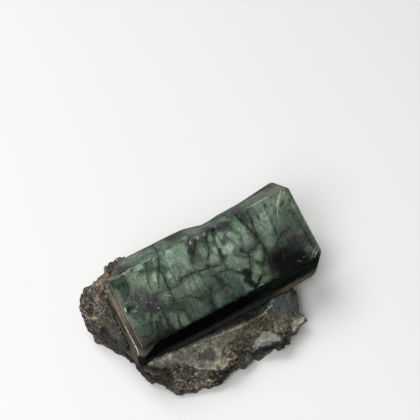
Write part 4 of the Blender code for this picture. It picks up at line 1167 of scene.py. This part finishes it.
def schist_material():
    """Broken mica schist: grains, pores with painted shade, pale specks, and mica flakes with painted glints
    that shine at every angle.
    """
    n = Nodes("mica_schist_rock")
    grain = n.attribute("grain")
    contrast = n.ramp(grain, 0.0, 1.0, 0.3, 1.0)
    fine = n.grains(0.7, 4.0, 0.5, 1.6, roughness=0.7)
    mottled = n.sum("MULTIPLY_ADD", n.sum("SUBTRACT", fine, 1.0), contrast, 1.0)
    crumb = n.split(n.cells(n.warped(1.0, 0.5), (1.15, 1.15, 1.8)).outputs["Color"])
    patchy = n.sum("MULTIPLY_ADD", n.ramp(crumb[0], 0.0, 1.0, -0.55, 0.6), contrast, 1.0)
    # Pores, darkened with painted shade in their pits.
    pore = n.cells(n.place, (0.8, 0.8, 0.8)).outputs["Distance"]
    hole = n.product(n.ramp(pore, 0.14, 0.3, 0.8, 0.0), grain)
    tint = n.scaled(n.scaled(n.scaled(n.attribute("tint"), mottled), patchy), n.without(hole))
    drift = n.ramp(n.noise(7.0, 3.0).outputs[0], 0.42, 0.62, 0.1, 1.0)
    speck = n.product(n.sum("GREATER_THAN", crumb[1], 0.84), grain, drift, 0.55)
    tint = n.mix(speck, tint, SPECK)
    # Painted glints: a few flakes turn near-white in the base colour.
    flake = n.cells(n.place, (1.9, 1.9, 2.6)).outputs["Color"]
    bright = n.sum("GREATER_THAN", n.split(flake)[0], 0.94)
    glint = n.product(bright, n.ramp(grain, 0.0, 1.0, 0.1, 1.0), drift)
    tint = n.mix(n.product(glint, 0.85), tint, GLINT)
    rough = n.sum("SUBTRACT", n.ramp(fine, 0.5, 1.6, 0.62, 0.48), n.product(glint, 0.3))
    # Each flake faces its own way.
    lean = n.scaled(n.centred(flake), n.ramp(grain, 0.0, 1.0, 0.1, 0.5))
    facing = n.vector("ADD", n.bump(n.sum("SUBTRACT", fine, hole), 0.25), lean)
    return n.wire(
        Base_Color=tint,
        Roughness=rough,
        Specular_IOR_Level=0.35,
        Normal=n.vector("NORMALIZE", facing),
    )


def floor_piece():
    mesh = bpy.data.meshes.new("floor")
    reach = 3.0
    corners = [(-reach, -reach, 0), (reach, -reach, 0), (reach, reach, 0), (-reach, reach, 0)]
    mesh.from_pydata(corners, [], [(0, 1, 2, 3)])
    made = bpy.data.objects.new("floor", mesh)
    bpy.context.scene.collection.objects.link(made)
    mesh.materials.append(Nodes("pale_floor").wire(Base_Color=FLOOR, Roughness=0.9, Specular_IOR_Level=0.1))
    return made


def area_light(name, place, size, power):
    """A square light that shines on the object, with its place and size in metres."""
    light = bpy.data.lights.new(name, "AREA")
    light.size = size
    light.energy = power
    lamp = bpy.data.objects.new(name, light)
    bpy.context.scene.collection.objects.link(lamp)
    lamp.location = place
    middle = Vector((0, 0, 0.02))
    lamp.rotation_euler = (middle - lamp.location).to_track_quat("-Z", "Y").to_euler()


def add_camera():
    """The camera at the photograph's viewing angle."""
    data = bpy.data.cameras.new("camera")
    made = bpy.data.objects.new("camera", data)
    bpy.context.scene.collection.objects.link(made)
    data.sensor_width = SENSOR_WIDTH
    data.lens = SENSOR_WIDTH * FOCAL_PIXELS / PICTURE_PIXELS
    data.clip_start = 0.01
    made.location = Vector(CAMERA_PLACE) * MM
    turn, tilt = math.radians(CAMERA_TURN), math.radians(CAMERA_TILT)
    look = Vector((math.sin(turn) * math.cos(tilt), math.cos(turn) * math.cos(tilt), -math.sin(tilt)))
    made.rotation_euler = look.to_track_quat("-Z", "Y").to_euler()
    bpy.context.scene.camera = made


def add_studio():
    """Soft light from two sides, and a little from all round."""
    area_light("key", (-0.4, 0.8, 1.45), 1.1, 22.0)
    area_light("fill", (-0.95, -0.55, 1.15), 0.9, 17.0)
    world = bpy.data.worlds.new("studio")
    world.use_nodes = True
    background = world.node_tree.nodes["Background"]
    background.inputs["Color"].default_value = STUDIO
    background.inputs["Strength"].default_value = 0.15
    bpy.context.scene.world = world
    bpy.context.scene.view_settings.view_transform = "Standard"


add_camera()
floor = floor_piece()
crystal = crystal_piece()
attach(crystal, "root")
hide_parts("emerald_crystal")
slab = matrix_piece()
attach(slab, "root")
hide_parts("schist_matrix")
add_studio()
